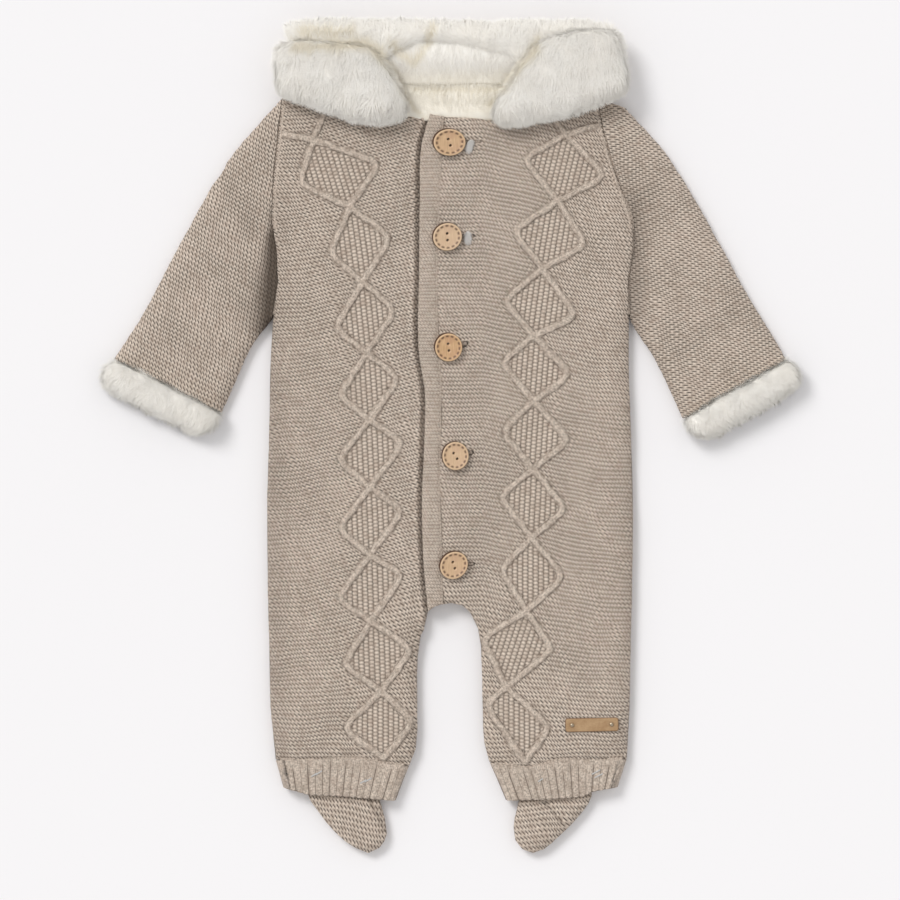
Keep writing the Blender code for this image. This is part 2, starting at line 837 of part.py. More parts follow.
def buttonhole(row):
    """The loop of a buttonhole, anticlockwise: wide at the thread and narrow at its far end."""
    x, y, _, _, _, end_x, end_y = row
    width, corner = SLOT_HALF_WIDTH, SLOT_CORNER
    start_x = x - SLOT_BEHIND
    middle_x = min(STEP_START_X, end_x - 1.5 * corner)
    middle_y = y + (end_y - y) * (middle_x - x) / (end_x - x)
    corners = [
        (start_x, y),
        (start_x + corner, y - width),
        (x + 2 * corner, y - width),
        (middle_x, middle_y - width),
        (end_x - corner, end_y - 0.7 * width),
        (end_x, end_y),
        (end_x - corner, end_y + 0.7 * width),
        (middle_x, middle_y + width),
        (x + 2 * corner, y + width),
        (start_x + corner, y + width),
    ]
    return np.array(corners)


def front_left():
    seam = smooth(shifted(BAND_SEAM, GAP / 2))
    crotch = smooth(CROTCH[2:], 6.0)
    crotch[0] = seam[-1]
    neck = smooth(NECK_LEFT)
    neck[0] = seam[0]
    outline = Outline(
        ("cut", seam),
        ("fold", crotch),
        ("fold", backwards(smooth(INNER_LEG_LEFT))),
        ("seam", backwards(straight(HEM_LEFT))),
        ("fold", backwards(smooth(SIDE_LEFT))),
        ("seam", backwards(straight(RAGLAN_LEFT))),
        ("cut", backwards(neck)),
    )
    cables = cable_lines(COLUMN_LEFT_START, COLUMN_LEFT, COLUMN_LEFT_TAILS)

    def stepped_down(xy, end_x):
        return np.clip((xy[:, 0] - STEP_START_X) / (end_x - STEP_START_X), 0, 1)

    def bottom(xy):
        return OVERLAP_BOTTOM + (FRONT_BOTTOM - OVERLAP_BOTTOM) * stepped_down(xy, STEP_END_X)

    def top(xy):
        level = OVERLAP_TOP + (FRONT_TOP - OVERLAP_TOP) * stepped_down(xy, STEP_SOFT_X)
        surface = level - outline.fall(xy, ROUNDING)
        relief = cable_relief(xy, cables, COLUMN_LEFT_START, COLUMN_LEFT)
        return np.maximum(surface, bottom(xy) + THINNEST) + relief

    def upright(x, step):
        return straight([(x, 250.0), (x, -136.0)], step)

    layer(
        "front_left", outline, top, bottom, "knit",
        holes=[buttonhole(row) for row in BUTTONS],
        top_lines=cable_edges(cables) + [upright(STEP_SOFT_X, 20.0)],
        bottom_lines=[upright(STEP_START_X, 12.0), upright(STEP_END_X, 12.0)],
    )


def button_band():
    edge = smooth(BAND_EDGE, 11.0)
    seam = backwards(smooth(shifted(BAND_SEAM, -GAP / 2)))
    foot = smooth([BAND_EDGE[-1], CROTCH[1], seam[0]], 6.0)
    head = straight([seam[-1], BAND_EDGE[0]], 6.0)
    outline = Outline(("cut", edge), ("cut", foot), ("cut", seam), ("cut", head))
    layer(
        "button_band", outline, outline.over(BAND_TOP), OVERLAP_BOTTOM, "knit",
        insets=(2.2,), grid_step=40.0,
    )


def sleeve_fold_depth(xy):
    """How deep the soft troughs are at each point."""
    depth = np.zeros(len(xy))
    for x0, y0, x1, y1, half_width, deepest in SLEEVE_FOLDS:
        near = distance(xy, np.array([(x0, y0), (x1, y1)])) / half_width
        depth = np.maximum(depth, deepest * np.exp(-(near**2)))
    return depth


def patch_point(seam, cuff, outer, inner, u, v):
    """A point of the patch between four edges: u runs down the sleeve and v runs across it."""
    across = (1 - u) * along_line(seam, v) + u * along_line(cuff, v)
    down = (1 - v) * along_line(outer, u) + v * along_line(inner, u)
    corners = (1 - u) * ((1 - v) * seam[0] + v * seam[-1]) + u * ((1 - v) * cuff[0] + v * cuff[-1])
    return across + down - corners


def sleeve(name, raglan, outer, inner, outward):
    """A sleeve pressed flat, from the raglan seam to the cuff."""
    seam = np.array(shifted(raglan, outward * GAP))
    outer, inner = smooth(outer, 8.0), smooth(inner, 8.0)
    outer[0], inner[0] = seam[0], seam[-1]
    cuff = np.array([outer[-1], inner[-1]])
    shares = (arc_length(seam) / arc_length(seam)[-1])[1:-1]

    def section(u, inset, low, high, radius):
        width = np.linalg.norm(patch_point(seam, cuff, outer, inner, u, 1.0)
                               - patch_point(seam, cuff, outer, inner, u, 0.0))
        ring = []
        for share, height in flat_ring(width, shares, inset, low, high, radius):
            x, y = patch_point(seam, cuff, outer, inner, u, share)
            if height > high - 1.0 and inset == 0.0:
                height -= sleeve_fold_depth(np.array([(x, y)]))[0]
            ring.append((x, y, height))
        return ring

    middle = SLEEVE_HEIGHT / 2
    outer_sections = [
        section(u, 0.0, 0.0, SLEEVE_HEIGHT, middle) for u in np.linspace(0, 1, SLEEVE_STATIONS)
    ]
    inner_sections = [
        section(u, SLEEVE_WALL, middle - SLIT / 2, middle + SLIT / 2, SLIT)
        for u in np.linspace(0, 1, SLEEVE_INNER_STATIONS)
    ]
    tube(name, outer_sections, inner_sections, "knit")


def cuff_fur(name, outer_corner, inner_corner):
    """A ring of fur pressed flat at the end of a sleeve."""
    outer_corner, inner_corner = np.array(outer_corner), np.array(inner_corner)
    across = (inner_corner - outer_corner) / np.linalg.norm(inner_corner - outer_corner)
    down = np.array((-across[1], across[0]))
    down *= -math.copysign(1.0, down[1])
    outer_sections, inner_sections = [], []
    for along, outer_grows, inner_grows, height, slit_low, slit_high in CUFF_SECTIONS:
        start = outer_corner - across * outer_grows + down * (along + GAP)
        end = inner_corner + across * inner_grows + down * (along + GAP)
        width = np.linalg.norm(end - start)
        for sections, ring in (
            (outer_sections, flat_ring(width, CUFF_SHARES, 0.0, 0.0, height, CUFF_ROUNDING)),
            (inner_sections, flat_ring(width, CUFF_SHARES, CUFF_WALL, slit_low, slit_high, SLIT)),
        ):
            sections.append([(*(start + (end - start) * share), z) for share, z in ring])
    tube(name, outer_sections, inner_sections[:1] + inner_sections[-1:], "fur")


def ankle_rib(name, hem, foot, room):
    """A ribbed tube pressed flat: its ribs run down the leg and are raised on the side that shows."""
    hem = np.array(shifted(hem, 0.0, -GAP - 0.1))
    foot = np.array(foot)
    shares = [
        RIB_MARGIN + (1 - 2 * RIB_MARGIN) * (rib + part) / RIB_COUNT
        for rib in range(RIB_COUNT)
        for part in RIB_FLANKS
    ]
    middle = RIB_HEIGHT / 2
    opened = (middle - RIB_WALL) / (SLIT / 2)

    def section(u, inset, low, high, radius):
        """A ring of (x, y, height) that far down the rib."""
        start, end = (1 - u) * hem[0] + u * foot[0], (1 - u) * hem[-1] + u * foot[-1]
        ring = flat_ring(np.linalg.norm(end - start), shares, inset, low, high, radius)
        return [(*((1 - u) * along_line(hem, share) + u * along_line(foot, share)), z) for share, z in ring]

    def ribbed(u):
        ring = section(u, 0.0, 0.0, RIB_HEIGHT, middle)
        first = len(SIDE_ANGLES)
        for k in range(first, first + len(shares), len(RIB_FLANKS)):
            ring[k] = (*ring[k][:2], RIB_HEIGHT - RIB_DEPTH)
        return ring

    def hollow(u):
        ring = []
        for x, y, z in section(u, RIB_WALL, middle - SLIT / 2, middle + SLIT / 2, SLIT):
            clear = max(room[0] - x, x - room[1], 0.0)
            share = max(1 - clear / RIB_ROOM_SOFT, 0.0)
            ring.append((x, y, middle + (z - middle) * (1 + (opened - 1) * share)))
        return ring

    stations = (0.0, 0.5, 1.0)
    tube(name, [ribbed(u) for u in stations], [hollow(u) for u in stations], "knit")


def foot(side, table, rib_foot):
    """A small foot: its upper and its sole, thin inside the rib and fuller outside it."""
    edge = smooth(table, 8.0)
    outline = Outline(("fold", edge), ("cut", straight([edge[-1], edge[0]], 12.0)))
    rib_x, rib_y = np.array(sorted(rib_foot)).T

    def swell(xy):
        below_rib = np.interp(xy[:, 0], rib_x, rib_y) - xy[:, 1]
        share = np.clip((below_rib - FOOT_LEVELS[0]) / FOOT_SWELL, 0, 1)
        return np.sin(share * math.pi / 2)

    def upper_top(xy):
        full = np.maximum(FOOT_HEIGHT - outline.fall(xy, ROUNDING), FOOT_MIDDLE + GAP + THINNEST)
        thin = np.minimum(full, FOOT_IN_RIB[1])
        return thin + (full - thin) * swell(xy)

    def sole_bottom(xy):
        full = outline.fall(xy, UNDER_ROUNDING)
        thin = np.maximum(full, FOOT_IN_RIB[0])
        return thin + (full - thin) * swell(xy)

    span = np.linspace(rib_x[0], rib_x[-1], 9)
    levels = [
        np.column_stack([span, np.interp(span, rib_x, rib_y) - below]) for below in FOOT_LEVELS
    ]
    layer(
        f"foot_upper_{side}", outline, upper_top, FOOT_MIDDLE + GAP, "knit",
        insets=(1.6, 5.5), grid_step=12.0, top_lines=levels,
    )
    layer(
        f"foot_sole_{side}", outline, FOOT_MIDDLE, sole_bottom, "knit",
        insets=(), grid_step=40.0, under_insets=(1.8, 6.5), bottom_lines=levels,
    )


def hood():
    """The knitted shell, the plush on it and the plush of the back neck."""
    neck = backwards(smooth(shifted(NECK_BACK, 0.0, HOOD_NECK_SEAM)))
    shell = Outline(("fold", smooth(HOOD_SHELL_RIM)), ("seam", neck))

    def shell_under(xy):
        return SHELL_UNDER_SHARE * shell.fall(xy, UNDER_ROUNDING)

    layer(
        "hood_shell", shell, SHELL_TOP, shell_under, "knit",
        insets=(), grid_step=60.0, under_insets=(2.0, 7.0),
    )
    smaller = inward(shell.loop, LINING_INSET)
    lining = Outline(("plush", np.vstack([smaller, smaller[:1]])))
    layer(
        "hood_lining", lining, lining.over(LINING_TOP), SHELL_TOP + GAP, "fur",
        insets=(1.8, 6.0), grid_step=24.0,
    )
    plush = Outline(("plush", straight(NECK_LINING, 9.0)))
    layer(
        "neck_lining", plush, plush.over(NECK_LINING_TOP), FRONT_BOTTOM, "fur",
        insets=(2.0, 6.0), grid_step=16.0,
    )


def hood_trim():
    """Three stretches of thick fur round the hood's edge, laid open like a collar."""
    join_right, join_left = smooth(TRIM_JOIN_RIGHT, 10.0), smooth(TRIM_JOIN_LEFT, 10.0)
    right = [("fur", smooth(TRIM_RIGHT_OUTER, 10.0)), ("fur", backwards(join_right))]
    left = [("fur", smooth(TRIM_LEFT_OUTER, 10.0)), ("fur", backwards(join_left))]
    back = [
        ("fur", smooth(TRIM_BACK_TOP, 12.0)),
        ("fur", join_right),
        ("fur", smooth(TRIM_BACK_BOTTOM, 10.0)),
        ("fur", join_left),
    ]
    for name, stretches, height in (
        ("hood_fur_right", right, TRIM_HEIGHT),
        ("hood_fur_left", left, TRIM_HEIGHT),
        ("hood_fur_back", back, BACK_TRIM_HEIGHT),
    ):
        whole = Outline(*stretches)
        tightened = inward(whole.loop, GAP)
        outline = Outline(("fur", np.vstack([tightened, tightened[:1]])))
        fullness = height / TRIM_HEIGHT

        def top(xy, outline=outline, height=height, fullness=fullness):
            return TRIM_BOTTOM + height - fullness * outline.fall(xy, ROUNDING)

        layer(
            name, outline, top, outline.under(TRIM_BOTTOM), "fur",
            insets=(1.2, 4.0, 8.5, 14.0), grid_step=13.0, under_insets=(2.5, 7.0),
        )


# Fastenings


def turned(name, profile, steps, collection):
    """A profile of (radius, height), from the top down its outer side, turned round Z."""
    mesh = bpy.data.meshes.new(name)
    edges = [(i, i + 1) for i in range(len(profile) - 1)]
    mesh.from_pydata([(r * MM, 0.0, z * MM) for r, z in profile], edges, [])
    made = bpy.data.objects.new(name, mesh)
    bpy.data.collections[collection].objects.link(made)
    screw = made.modifiers.new("Screw", "SCREW")
    screw.steps = screw.render_steps = steps
    screw.use_merge_vertices = True
    screw.merge_threshold = 0.00001
    return made


def as_mesh(made):
    """The object's mesh with its modifiers applied; the object is removed."""
    graph = bpy.context.evaluated_depsgraph_get()
    mesh = bpy.data.meshes.new_from_object(made.evaluated_get(graph))
    bpy.data.objects.remove(made)
    return mesh


def round_bar(name, radius, length, sides):
    """A cylinder's mesh standing on the origin."""
    bm = bmesh.new()
    bmesh.ops.create_cone(
        bm, cap_ends=True, segments=sides, radius1=radius * MM, radius2=radius * MM,
        depth=length * MM, matrix=Matrix.Translation((0, 0, length * MM / 2)),
    )
    mesh = bpy.data.meshes.new(name)
    bm.to_mesh(mesh)
    bm.free()
    return mesh


def button_mesh():
    """A turned wooden button with a raised rim and two holes."""
    r, h, floor = BUTTON_RADIUS, BUTTON_HEIGHT, BUTTON_FLOOR
    profile = [
        (0.0, floor),
        (r - BUTTON_RIM - BUTTON_DISH, floor),
        (r - BUTTON_RIM, h),
        (r - BUTTON_LIP, h),
        (r, h - BUTTON_LIP),
        (r, BUTTON_DISH),
        (r - BUTTON_FOOT, 0.0),
        (0.0, 0.0),
    ]
    blank = turned("button_blank", profile, 20, SUIT)
    for side in (-1, 1):
        bar = round_bar("drill", BUTTON_HOLE_RADIUS, 3 * h, 8)
        drill = bpy.data.objects.new(f"button_drill_{side}", bar)
        drill.location = (side * BUTTON_HOLE_APART / 2 * MM, 0, -h * MM)
        drill.hide_render = True
        drill.display_type = "WIRE"
        bpy.data.collections["cutters"].objects.link(drill)
        cut = blank.modifiers.new(f"Hole {side}", "BOOLEAN")
        cut.operation = "DIFFERENCE"
        cut.object = drill
    bpy.context.view_layer.update()
    mesh = as_mesh(blank)
    mesh.name = "button"
    mesh.shade_smooth()
    mesh.set_sharp_from_angle(angle=math.radians(35))
    return mesh


def buttons():
    shared = button_mesh()
    for number, (x, y, tilt, tilt_way, holes_way, _, _) in enumerate(BUTTONS, 1):
        lean = Matrix.Rotation(math.radians(tilt), 4, Vector((1, 0, 0)))
        way = Matrix.Rotation(math.radians(tilt_way), 4, "Z")
        turn = Matrix.Rotation(math.radians(holes_way), 4, "Z")
        rest = OVERLAP_TOP + BUTTON_LIFT
        button = add_object(f"button_{number}", shared, "wood")
        place = Matrix.Translation((x * MM, y * MM, rest * MM))
        button.matrix_world = place @ way @ lean @ way.inverted() @ turn
        shank = round_bar("thread", THREAD_RADIUS, rest - 2 * GAP - UNDERLAP_TOP, 10)
        thread = add_object(f"button_thread_{number}", shank, "thread")
        thread.location = (x * MM, y * MM, (UNDERLAP_TOP + GAP) * MM)


def rounded_plate():
    """A flat plate with rounded corners, from a filled outline."""
    curve = bpy.data.curves.new("plate", "CURVE")
    curve.dimensions = "2D"
    curve.fill_mode = "BOTH"
    curve.extrude = PLATE_HEIGHT / 2 * MM
    spline = curve.splines.new("POLY")
    corners = []
    for quarter in range(4):
        side_x = 1 if quarter in (0, 3) else -1
        side_y = 1 if quarter in (0, 1) else -1
        for part in range(4):
            angle = math.radians(90 * quarter + 30 * part)
            corners.append((
                side_x * (PLATE_SIZE[0] / 2 - PLATE_CORNER) + PLATE_CORNER * math.cos(angle),
                side_y * (PLATE_SIZE[1] / 2 - PLATE_CORNER) + PLATE_CORNER * math.sin(angle),
            ))
    spline.points.add(len(corners) - 1)
    for point, (x, y) in zip(spline.points, corners):
        point.co = (x * MM, y * MM, 0, 1)
    spline.use_cyclic_u = True
    made = bpy.data.objects.new("plate", curve)
    made.rotation_euler.z = PLATE_TURN
    middle_height = FRONT_TOP + GAP + PLATE_HEIGHT / 2
    made.location = (PLATE_CENTRE[0] * MM, PLATE_CENTRE[1] * MM, middle_height * MM)
    curve.materials.append(material("plate_tan"))
    bpy.data.collections[SUIT].objects.link(made)


def plate():
    rounded_plate()
    r, h = RIVET_RADIUS, RIVET_HEIGHT
    dome = [(0.0, h), (0.5 * r, 0.9 * h), (0.85 * r, 0.6 * h), (r, 0.2 * h), (r, 0.0), (0.0, 0.0)]
    for number, side in enumerate((-1, 1), 1):
        rivet = turned(f"plate_rivet_{number}", dome, 12, SUIT)
        rivet.data.materials.append(material("rivet"))
        x = PLATE_CENTRE[0] + side * RIVET_APART / 2 * math.cos(PLATE_TURN)
        y = PLATE_CENTRE[1] + side * RIVET_APART / 2 * math.sin(PLATE_TURN)
        height = FRONT_TOP + 2 * GAP + PLATE_HEIGHT
        rivet.location = (x * MM, y * MM, height * MM)


def clear_scene():
    for found in list(bpy.data.objects):
        bpy.data.objects.remove(found)
    for name in (SUIT, "cutters"):
        bpy.context.scene.collection.children.link(bpy.data.collections.new(name))


def main():
    clear_scene()
    back_panel()
    front_right()
    front_left()
    button_band()
    sleeve("sleeve_right", RAGLAN_RIGHT, SLEEVE_RIGHT_OUTER, SLEEVE_RIGHT_INNER, -1)
    sleeve("sleeve_left", RAGLAN_LEFT, SLEEVE_LEFT_OUTER, SLEEVE_LEFT_INNER, 1)
    cuff_fur("cuff_fur_right", SLEEVE_RIGHT_OUTER[-1], SLEEVE_RIGHT_INNER[-1])
    cuff_fur("cuff_fur_left", SLEEVE_LEFT_OUTER[-1], SLEEVE_LEFT_INNER[-1])
    ankle_rib("ankle_rib_right", HEM_RIGHT, RIB_FOOT_RIGHT, RIB_ROOM_RIGHT)
    ankle_rib("ankle_rib_left", HEM_LEFT, RIB_FOOT_LEFT, RIB_ROOM_LEFT)
    foot("right", FOOT_RIGHT, RIB_FOOT_RIGHT)
    foot("left", FOOT_LEFT, RIB_FOOT_LEFT)
    hood()
    hood_trim()
    buttons()
    plate()


main()
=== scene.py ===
"""Looks of the knitted snowsuit: its stitches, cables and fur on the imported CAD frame.

Tables and sizes are in millimetres, in the CAD model's frame, unless they say otherwise. Right and left
are the wearer's: the right is at -X. A finish is four channels a vertex, and each material reads them in its
own way.
"""

import math

import bmesh
import bpy
import numpy as np
from mathutils import Matrix, Vector
from mathutils.bvhtree import BVHTree
from mathutils.geometry import delaunay_2d_cdt


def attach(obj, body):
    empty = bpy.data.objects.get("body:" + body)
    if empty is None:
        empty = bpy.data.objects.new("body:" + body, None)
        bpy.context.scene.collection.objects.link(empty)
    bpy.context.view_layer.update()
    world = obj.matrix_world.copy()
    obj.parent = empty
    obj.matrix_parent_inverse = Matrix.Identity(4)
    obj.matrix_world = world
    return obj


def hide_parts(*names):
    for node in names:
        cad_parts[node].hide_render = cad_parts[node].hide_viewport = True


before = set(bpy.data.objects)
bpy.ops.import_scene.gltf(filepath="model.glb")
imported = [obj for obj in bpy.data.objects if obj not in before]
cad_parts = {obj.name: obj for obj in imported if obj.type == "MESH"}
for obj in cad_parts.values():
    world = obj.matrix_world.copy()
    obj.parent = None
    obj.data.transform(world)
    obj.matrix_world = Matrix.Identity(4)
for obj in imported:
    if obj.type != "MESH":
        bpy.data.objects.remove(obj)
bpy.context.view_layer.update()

MM = 0.001
TURN = 2 * math.pi

# The CAD model's heights and sizes
OVERLAP_TOP = 16.1
RIB_HEIGHT = 12.6
RIB_DEPTH = 1.7
RIB_COUNT = 15
RIB_MARGIN = 0.06
CABLE_HEIGHT = 2.0
CABLE_CROWN = 1.0
CABLE_HALF_WIDTH = 2.7
DIAMOND_CORNER = 7.0
DIAMOND_SINK = 0.6
DROP_CLEAR = 1.4
DROP_WIDTH = 6.0
BUTTON_RADIUS = 10.5
BUTTON_HEIGHT = 3.4
BUTTON_FLOOR = 2.5
BUTTON_HOLE_RADIUS = 1.1
BUTTON_HOLE_APART = 5.0
BUTTON_LIFT = 1.4
PLATE_SIZE = (40.0, 10.4)
PLATE_CENTRE = (106.0, -215.0)
PLATE_CORNER = 2.0
PLATE_HEIGHT = 1.2
PLATE_TURN = 1.2
RIVET_APART = 29.6

# The CAD model's seams and edges
RAGLAN_RIGHT = [
    (-126.5, 255.0), (-128.8, 233.0), (-131.0, 210.0), (-133.4, 187.0),
    (-134.0, 164.0), (-130.6, 142.0), (-129.6, 118.0), (-133.5, 88.5),
]
RAGLAN_LEFT = [
    (110.0, 255.0), (114.0, 233.0), (120.5, 210.0), (128.5, 187.0),
    (136.5, 164.0), (136.8, 142.0), (133.4, 118.0), (133.9, 88.5),
]
HEM_RIGHT = [(-131.3, -241.5), (-100.0, -240.4), (-69.6, -239.6), (-53.1, -243.0), (-31.1, -246.0)]
HEM_LEFT = [(132.4, -240.8), (102.4, -240.8), (80.6, -241.5), (58.1, -247.2), (29.3, -243.4)]
BAND_EDGE = [
    (-15.4, 243.0), (-21.4, 222.0), (-23.0, 180.0), (-23.6, 124.0), (-23.1, 58.0),
    (-19.3, 36.0), (-19.4, 5.0), (-21.4, -46.0), (-19.9, -99.0), (-16.9, -130.0),
]
BAND_SEAM = [
    (-5.6, 241.2), (-7.2, 208.0), (-8.8, 178.0), (-10.4, 132.0), (-10.2, 88.0),
    (-7.6, 45.0), (-7.6, 8.0), (-8.7, -39.0), (-7.4, -70.0), (-6.2, -124.6),
]
RIB_FOOT_RIGHT = [(-125.6, -262.5), (-106.4, -268.0), (-80.6, -269.3), (-52.9, -271.5), (-40.9, -272.6)]
RIB_FOOT_LEFT = [(125.6, -262.1), (106.9, -265.5), (100.0, -269.3), (73.9, -271.5), (41.3, -272.3)]

# Each diamond of a column: left corner x and y, right corner x and y, foot x and y
COLUMN_RIGHT = [
    (-113.6, 190.8, -53.2, 206.2, -75.4, 173.2),
    (-90.6, 138.0, -44.4, 150.0, -65.9, 117.0),
    (-86.9, 82.5, -41.4, 96.0, -62.9, 63.3),
    (-83.6, 31.7, -38.1, 45.2, -60.6, 13.5),
    (-84.4, -16.0, -35.3, -3.8, -60.4, -37.2),
    (-84.4, -67.9, -35.6, -54.5, -60.6, -88.0),
    (-85.0, -120.5, -35.6, -102.3, -59.6, -137.7),
    (-80.6, -170.3, -29.0, -157.8, -51.4, -190.0),
    (-80.6, -217.5, -27.8, -213.0, -49.9, -240.5),
]
COLUMN_LEFT = [
    (54.8, 209.5, 116.4, 196.3, 80.6, 177.6),
    (46.5, 155.6, 101.6, 144.6, 69.1, 127.0),
    (39.9, 102.8, 94.4, 91.0, 62.8, 76.7),
    (37.9, 56.6, 90.1, 47.0, 62.3, 27.9),
    (38.4, 5.0, 89.1, -1.7, 61.8, -23.3),
    (37.0, -44.0, 86.6, -53.5, 60.9, -74.6),
    (37.4, -98.5, 84.8, -104.3, 57.1, -130.0),
    (23.6, -150.2, 76.7, -158.7, 41.9, -186.8),
    (25.9, -200.0, 74.9, -216.5, 55.9, -243.0),
]

# Each button: x and y, tilt in degrees, direction of the tilt, direction of the holes, x and y of the
# buttonhole's end
BUTTONS = [
    (-0.9, 221.4, 5.0, 70.0, -73.4, 23.6, 222.4),
    (-2.2, 150.5, 2.0, 200.0, -85.7, 18.4, 151.3),
    (-1.4, 68.0, 4.0, 10.0, -82.6, 13.4, 71.0),
    (3.8, -13.7, 4.0, 190.0, -55.7, 17.6, -10.6),
    (2.6, -95.3, 3.0, 20.0, -69.2, 18.4, -94.2),
]
# Each button is a little oval: its width and height as shares, the way they turn, and how pale it is.
BUTTON_SHAPES = [
    (1.17, 0.97, 0.0, 0.35),
    (1.06, 1.0, 20.0, 0.8),
    (0.99, 1.02, 0.0, 0.0),
    (0.96, 1.03, 0.0, 0.65),
    (1.06, 0.95, 42.0, 0.5),
]

# Knitting: a stitch across and a ridge up, how deep the valleys are and how much they wave
STITCH = 2.8
RIDGE = 3.2
VALLEY = 0.55
WAVE = 0.22
BAND_GAUGE = (2.2, 2.5)
FOOT_GAUGE = (2.7, 4.1)
# The beads in the diamonds and the fine cables, which are a little narrower than the CAD model's
BEAD_ACROSS = 3.9
BEAD_ALONG = 2.8
CABLE_HALF = 2.4
CABLE_RISE = 1.05
# How long the edges of a fine surface's rim are, and how far its fine points stay from the rim
RIM_STEP = 2.4
RIM_CLEAR = 0.8

# Where the rows of the fronts rise towards the cables: (distance from the middle, rise)
ROW_RISE = [(0.0, 20.0), (24.0, 20.6), (60.0, 13.0), (85.0, 6.8), (110.0, 1.9), (137.0, 0.0), (200.0, 0.0)]

# Each front: side, name, top and tails of its cables, its diamonds, the lean of the bead columns in each
# diamond in degrees, flat size in metres
FRONTS = [
    (
        -1, "right", (-102.8, 223.8), [(-125.0, 227.6), (-95.6, 242.0)], COLUMN_RIGHT,
        [17.0, 8.0, 6.0, 4.0, 3.0, 3.0, 2.0, 2.0, 0.0], (0.150, 0.505),
    ),
    (
        1, "left", (86.2, 227.6), [(77.3, 240.0), (108.0, 234.0)], COLUMN_LEFT,
        [-14.0, -10.0, -8.0, -5.0, -4.0, -3.0, 0.0, -18.0, 0.0], (0.148, 0.505),
    ),
]

# Each sleeve's creases: from x and y, to x and y, half width, depth
SLEEVE_CREASES_RIGHT = [
    (-170.0, 196.0, -146.0, 158.0, 8.0, 1.7),
    (-196.0, 118.0, -150.0, 96.0, 8.0, 0.9),
    (-215.0, 84.0, -176.0, 62.0, 7.0, 0.7),
]
SLEEVE_CREASES_LEFT = [
    (143.0, 170.0, 142.0, 96.0, 9.0, 2.2),
    (160.0, 196.0, 150.0, 160.0, 9.0, 1.3),
    (214.0, 92.0, 176.0, 64.0, 8.0, 0.9),
    (192.0, 150.0, 160.0, 120.0, 9.0, 0.8),
]
# Each sleeve: side, name, creases and the shade of its armpit: the body's edge, how dark, where it begins
# at the top, how softly, and how far it reaches at some heights
SLEEVES = [
    (-1, "right", SLEEVE_CREASES_RIGHT, 133.5, 0.95, 180.0, 28.0, [70, 84, 110, 160], [6, 16, 13, 4]),
    (1, "left", SLEEVE_CREASES_LEFT, 135.5, 0.28, 205.0, 35.0, [70, 90, 180], [6, 12, 7]),
]

# Each foot: name, turn of its rows in degrees, the seam across it
FEET = [
    ("right", -10.0, [(-60.9, -272.0), (-53.6, -285.0), (-49.5, -294.8)]),
    ("left", 4.0, [(70.5, -274.0), (76.0, -279.5), (84.8, -290.3)]),
]

# Creases between the rolls of fur
FUR_CREASES = [
    [(-110.0, 300.7), (-74.6, 300.7)],
    [(-45.4, 292.5), (-26.6, 281.3), (-12.4, 303.0)],
    [(-115.0, 293.3), (-61.0, 293.3), (-42.4, 275.3), (-28.9, 248.3), (-19.1, 240.0)],
    [(29.6, 249.8), (40.9, 265.5), (52.1, 276.0), (65.6, 294.0)],
    [(-28.0, 261.8), (41.0, 261.8)],
]
# Each roll of the hood's trim: node, strands, the line that its fur leaves, the way that it falls, how far
# its ground is drawn in, flat size in metres
ROLLS = [
    (
        "hood_fur_right", 21000, ((-122, 285), (-100, 272), (-70, 262), (-45, 252)),
        (-0.15, -1.0), 0.5, (0.118, 0.049),
    ),
    (
        "hood_fur_left", 21000, ((122, 285), (100, 275), (70, 265), (45, 255)),
        (0.15, -1.0), 0.5, (0.120, 0.052),
    ),
    (
        "hood_fur_back", 17000, ((-110, 297), (-60, 302), (0, 302), (60, 304), (110, 300)),
        (0.0, 1.0), 0.2, (0.245, 0.024),
    ),
]
# Each lining: node, strands, flat size in metres
LININGS = [
    ("hood_lining", 9000, (0.25, 0.045)),
    ("neck_lining", 3000, (0.095, 0.030)),
]

# The plush in the upper buttonholes: half width and half height, middle, turn in degrees
TUFTS = [
    ((2.5, 4.8), (14.2, 219.4), -28.0),
    ((2.1, 4.6), (12.6, 150.6), -8.0),
]
# Each tacking stitch on the ribs: from x and y, to x and y
TACKS = [
    (-104.6, -254.2, -100.0, -251.4),
    (-101.4, -253.0, -96.4, -249.6),
    (-67.9, -259.2, -63.0, -256.4),
    (-64.6, -258.2, -58.9, -255.0),
    (65.6, -258.0, 69.4, -255.4),
    (106.0, -252.4, 112.4, -249.0),
    (108.0, -255.0, 114.4, -251.8),
]
TACK_RADIUS = 0.5

# What the camera sees across at the surface, its place over the suit, and the light, in metres and degrees
VIEW_WIDTH = 0.675
VIEW_CENTRE = (-0.0004, -0.009)
VIEW_FLOOR = 0.014
LENS, SENSOR = 200.0, 36.0
FLOOR_HALF = 6
SUN_FROM = (-0.55, 0.62, 0.85)
SUN_STRENGTH = 1.45
SUN_ANGLE = 24.0
SKY_STRENGTH = 0.70


# Numbers and points


def unit(values):
    """The values, held between 0 and 1."""
    return np.clip(values, 0, 1)


def bell(values):
    return np.exp(-(values**2))


def grid(across, up):
    """The points of a grid, from its values across and up."""
    x, y = np.meshgrid(across, up)
    return np.column_stack([x.ravel(), y.ravel()])


def channels(first=0.0, second=0.0, third=0.0, fourth=0.0):
    """The four channels of a finish, one row a point."""
    return np.column_stack(np.broadcast_arrays(first, second, third, fourth))


def closed(loop):
    """The loop with its first point once more at its end."""
    return np.vstack([loop, loop[:1]])


# Lines in the plane


def arc_length(points):
    return np.concatenate([[0.0], np.cumsum(np.linalg.norm(np.diff(points, axis=0), axis=1))])


def straight(table, step):
    """Points about step apart on the straight lines between the table's points."""
    points = np.array(table, float)
    line = []
    for start, end in zip(points[:-1], points[1:]):
        count = max(1, round(np.linalg.norm(end - start) / step))
        line += [start + (end - start) * k / count for k in range(count)]
    return np.array(line + [points[-1]])


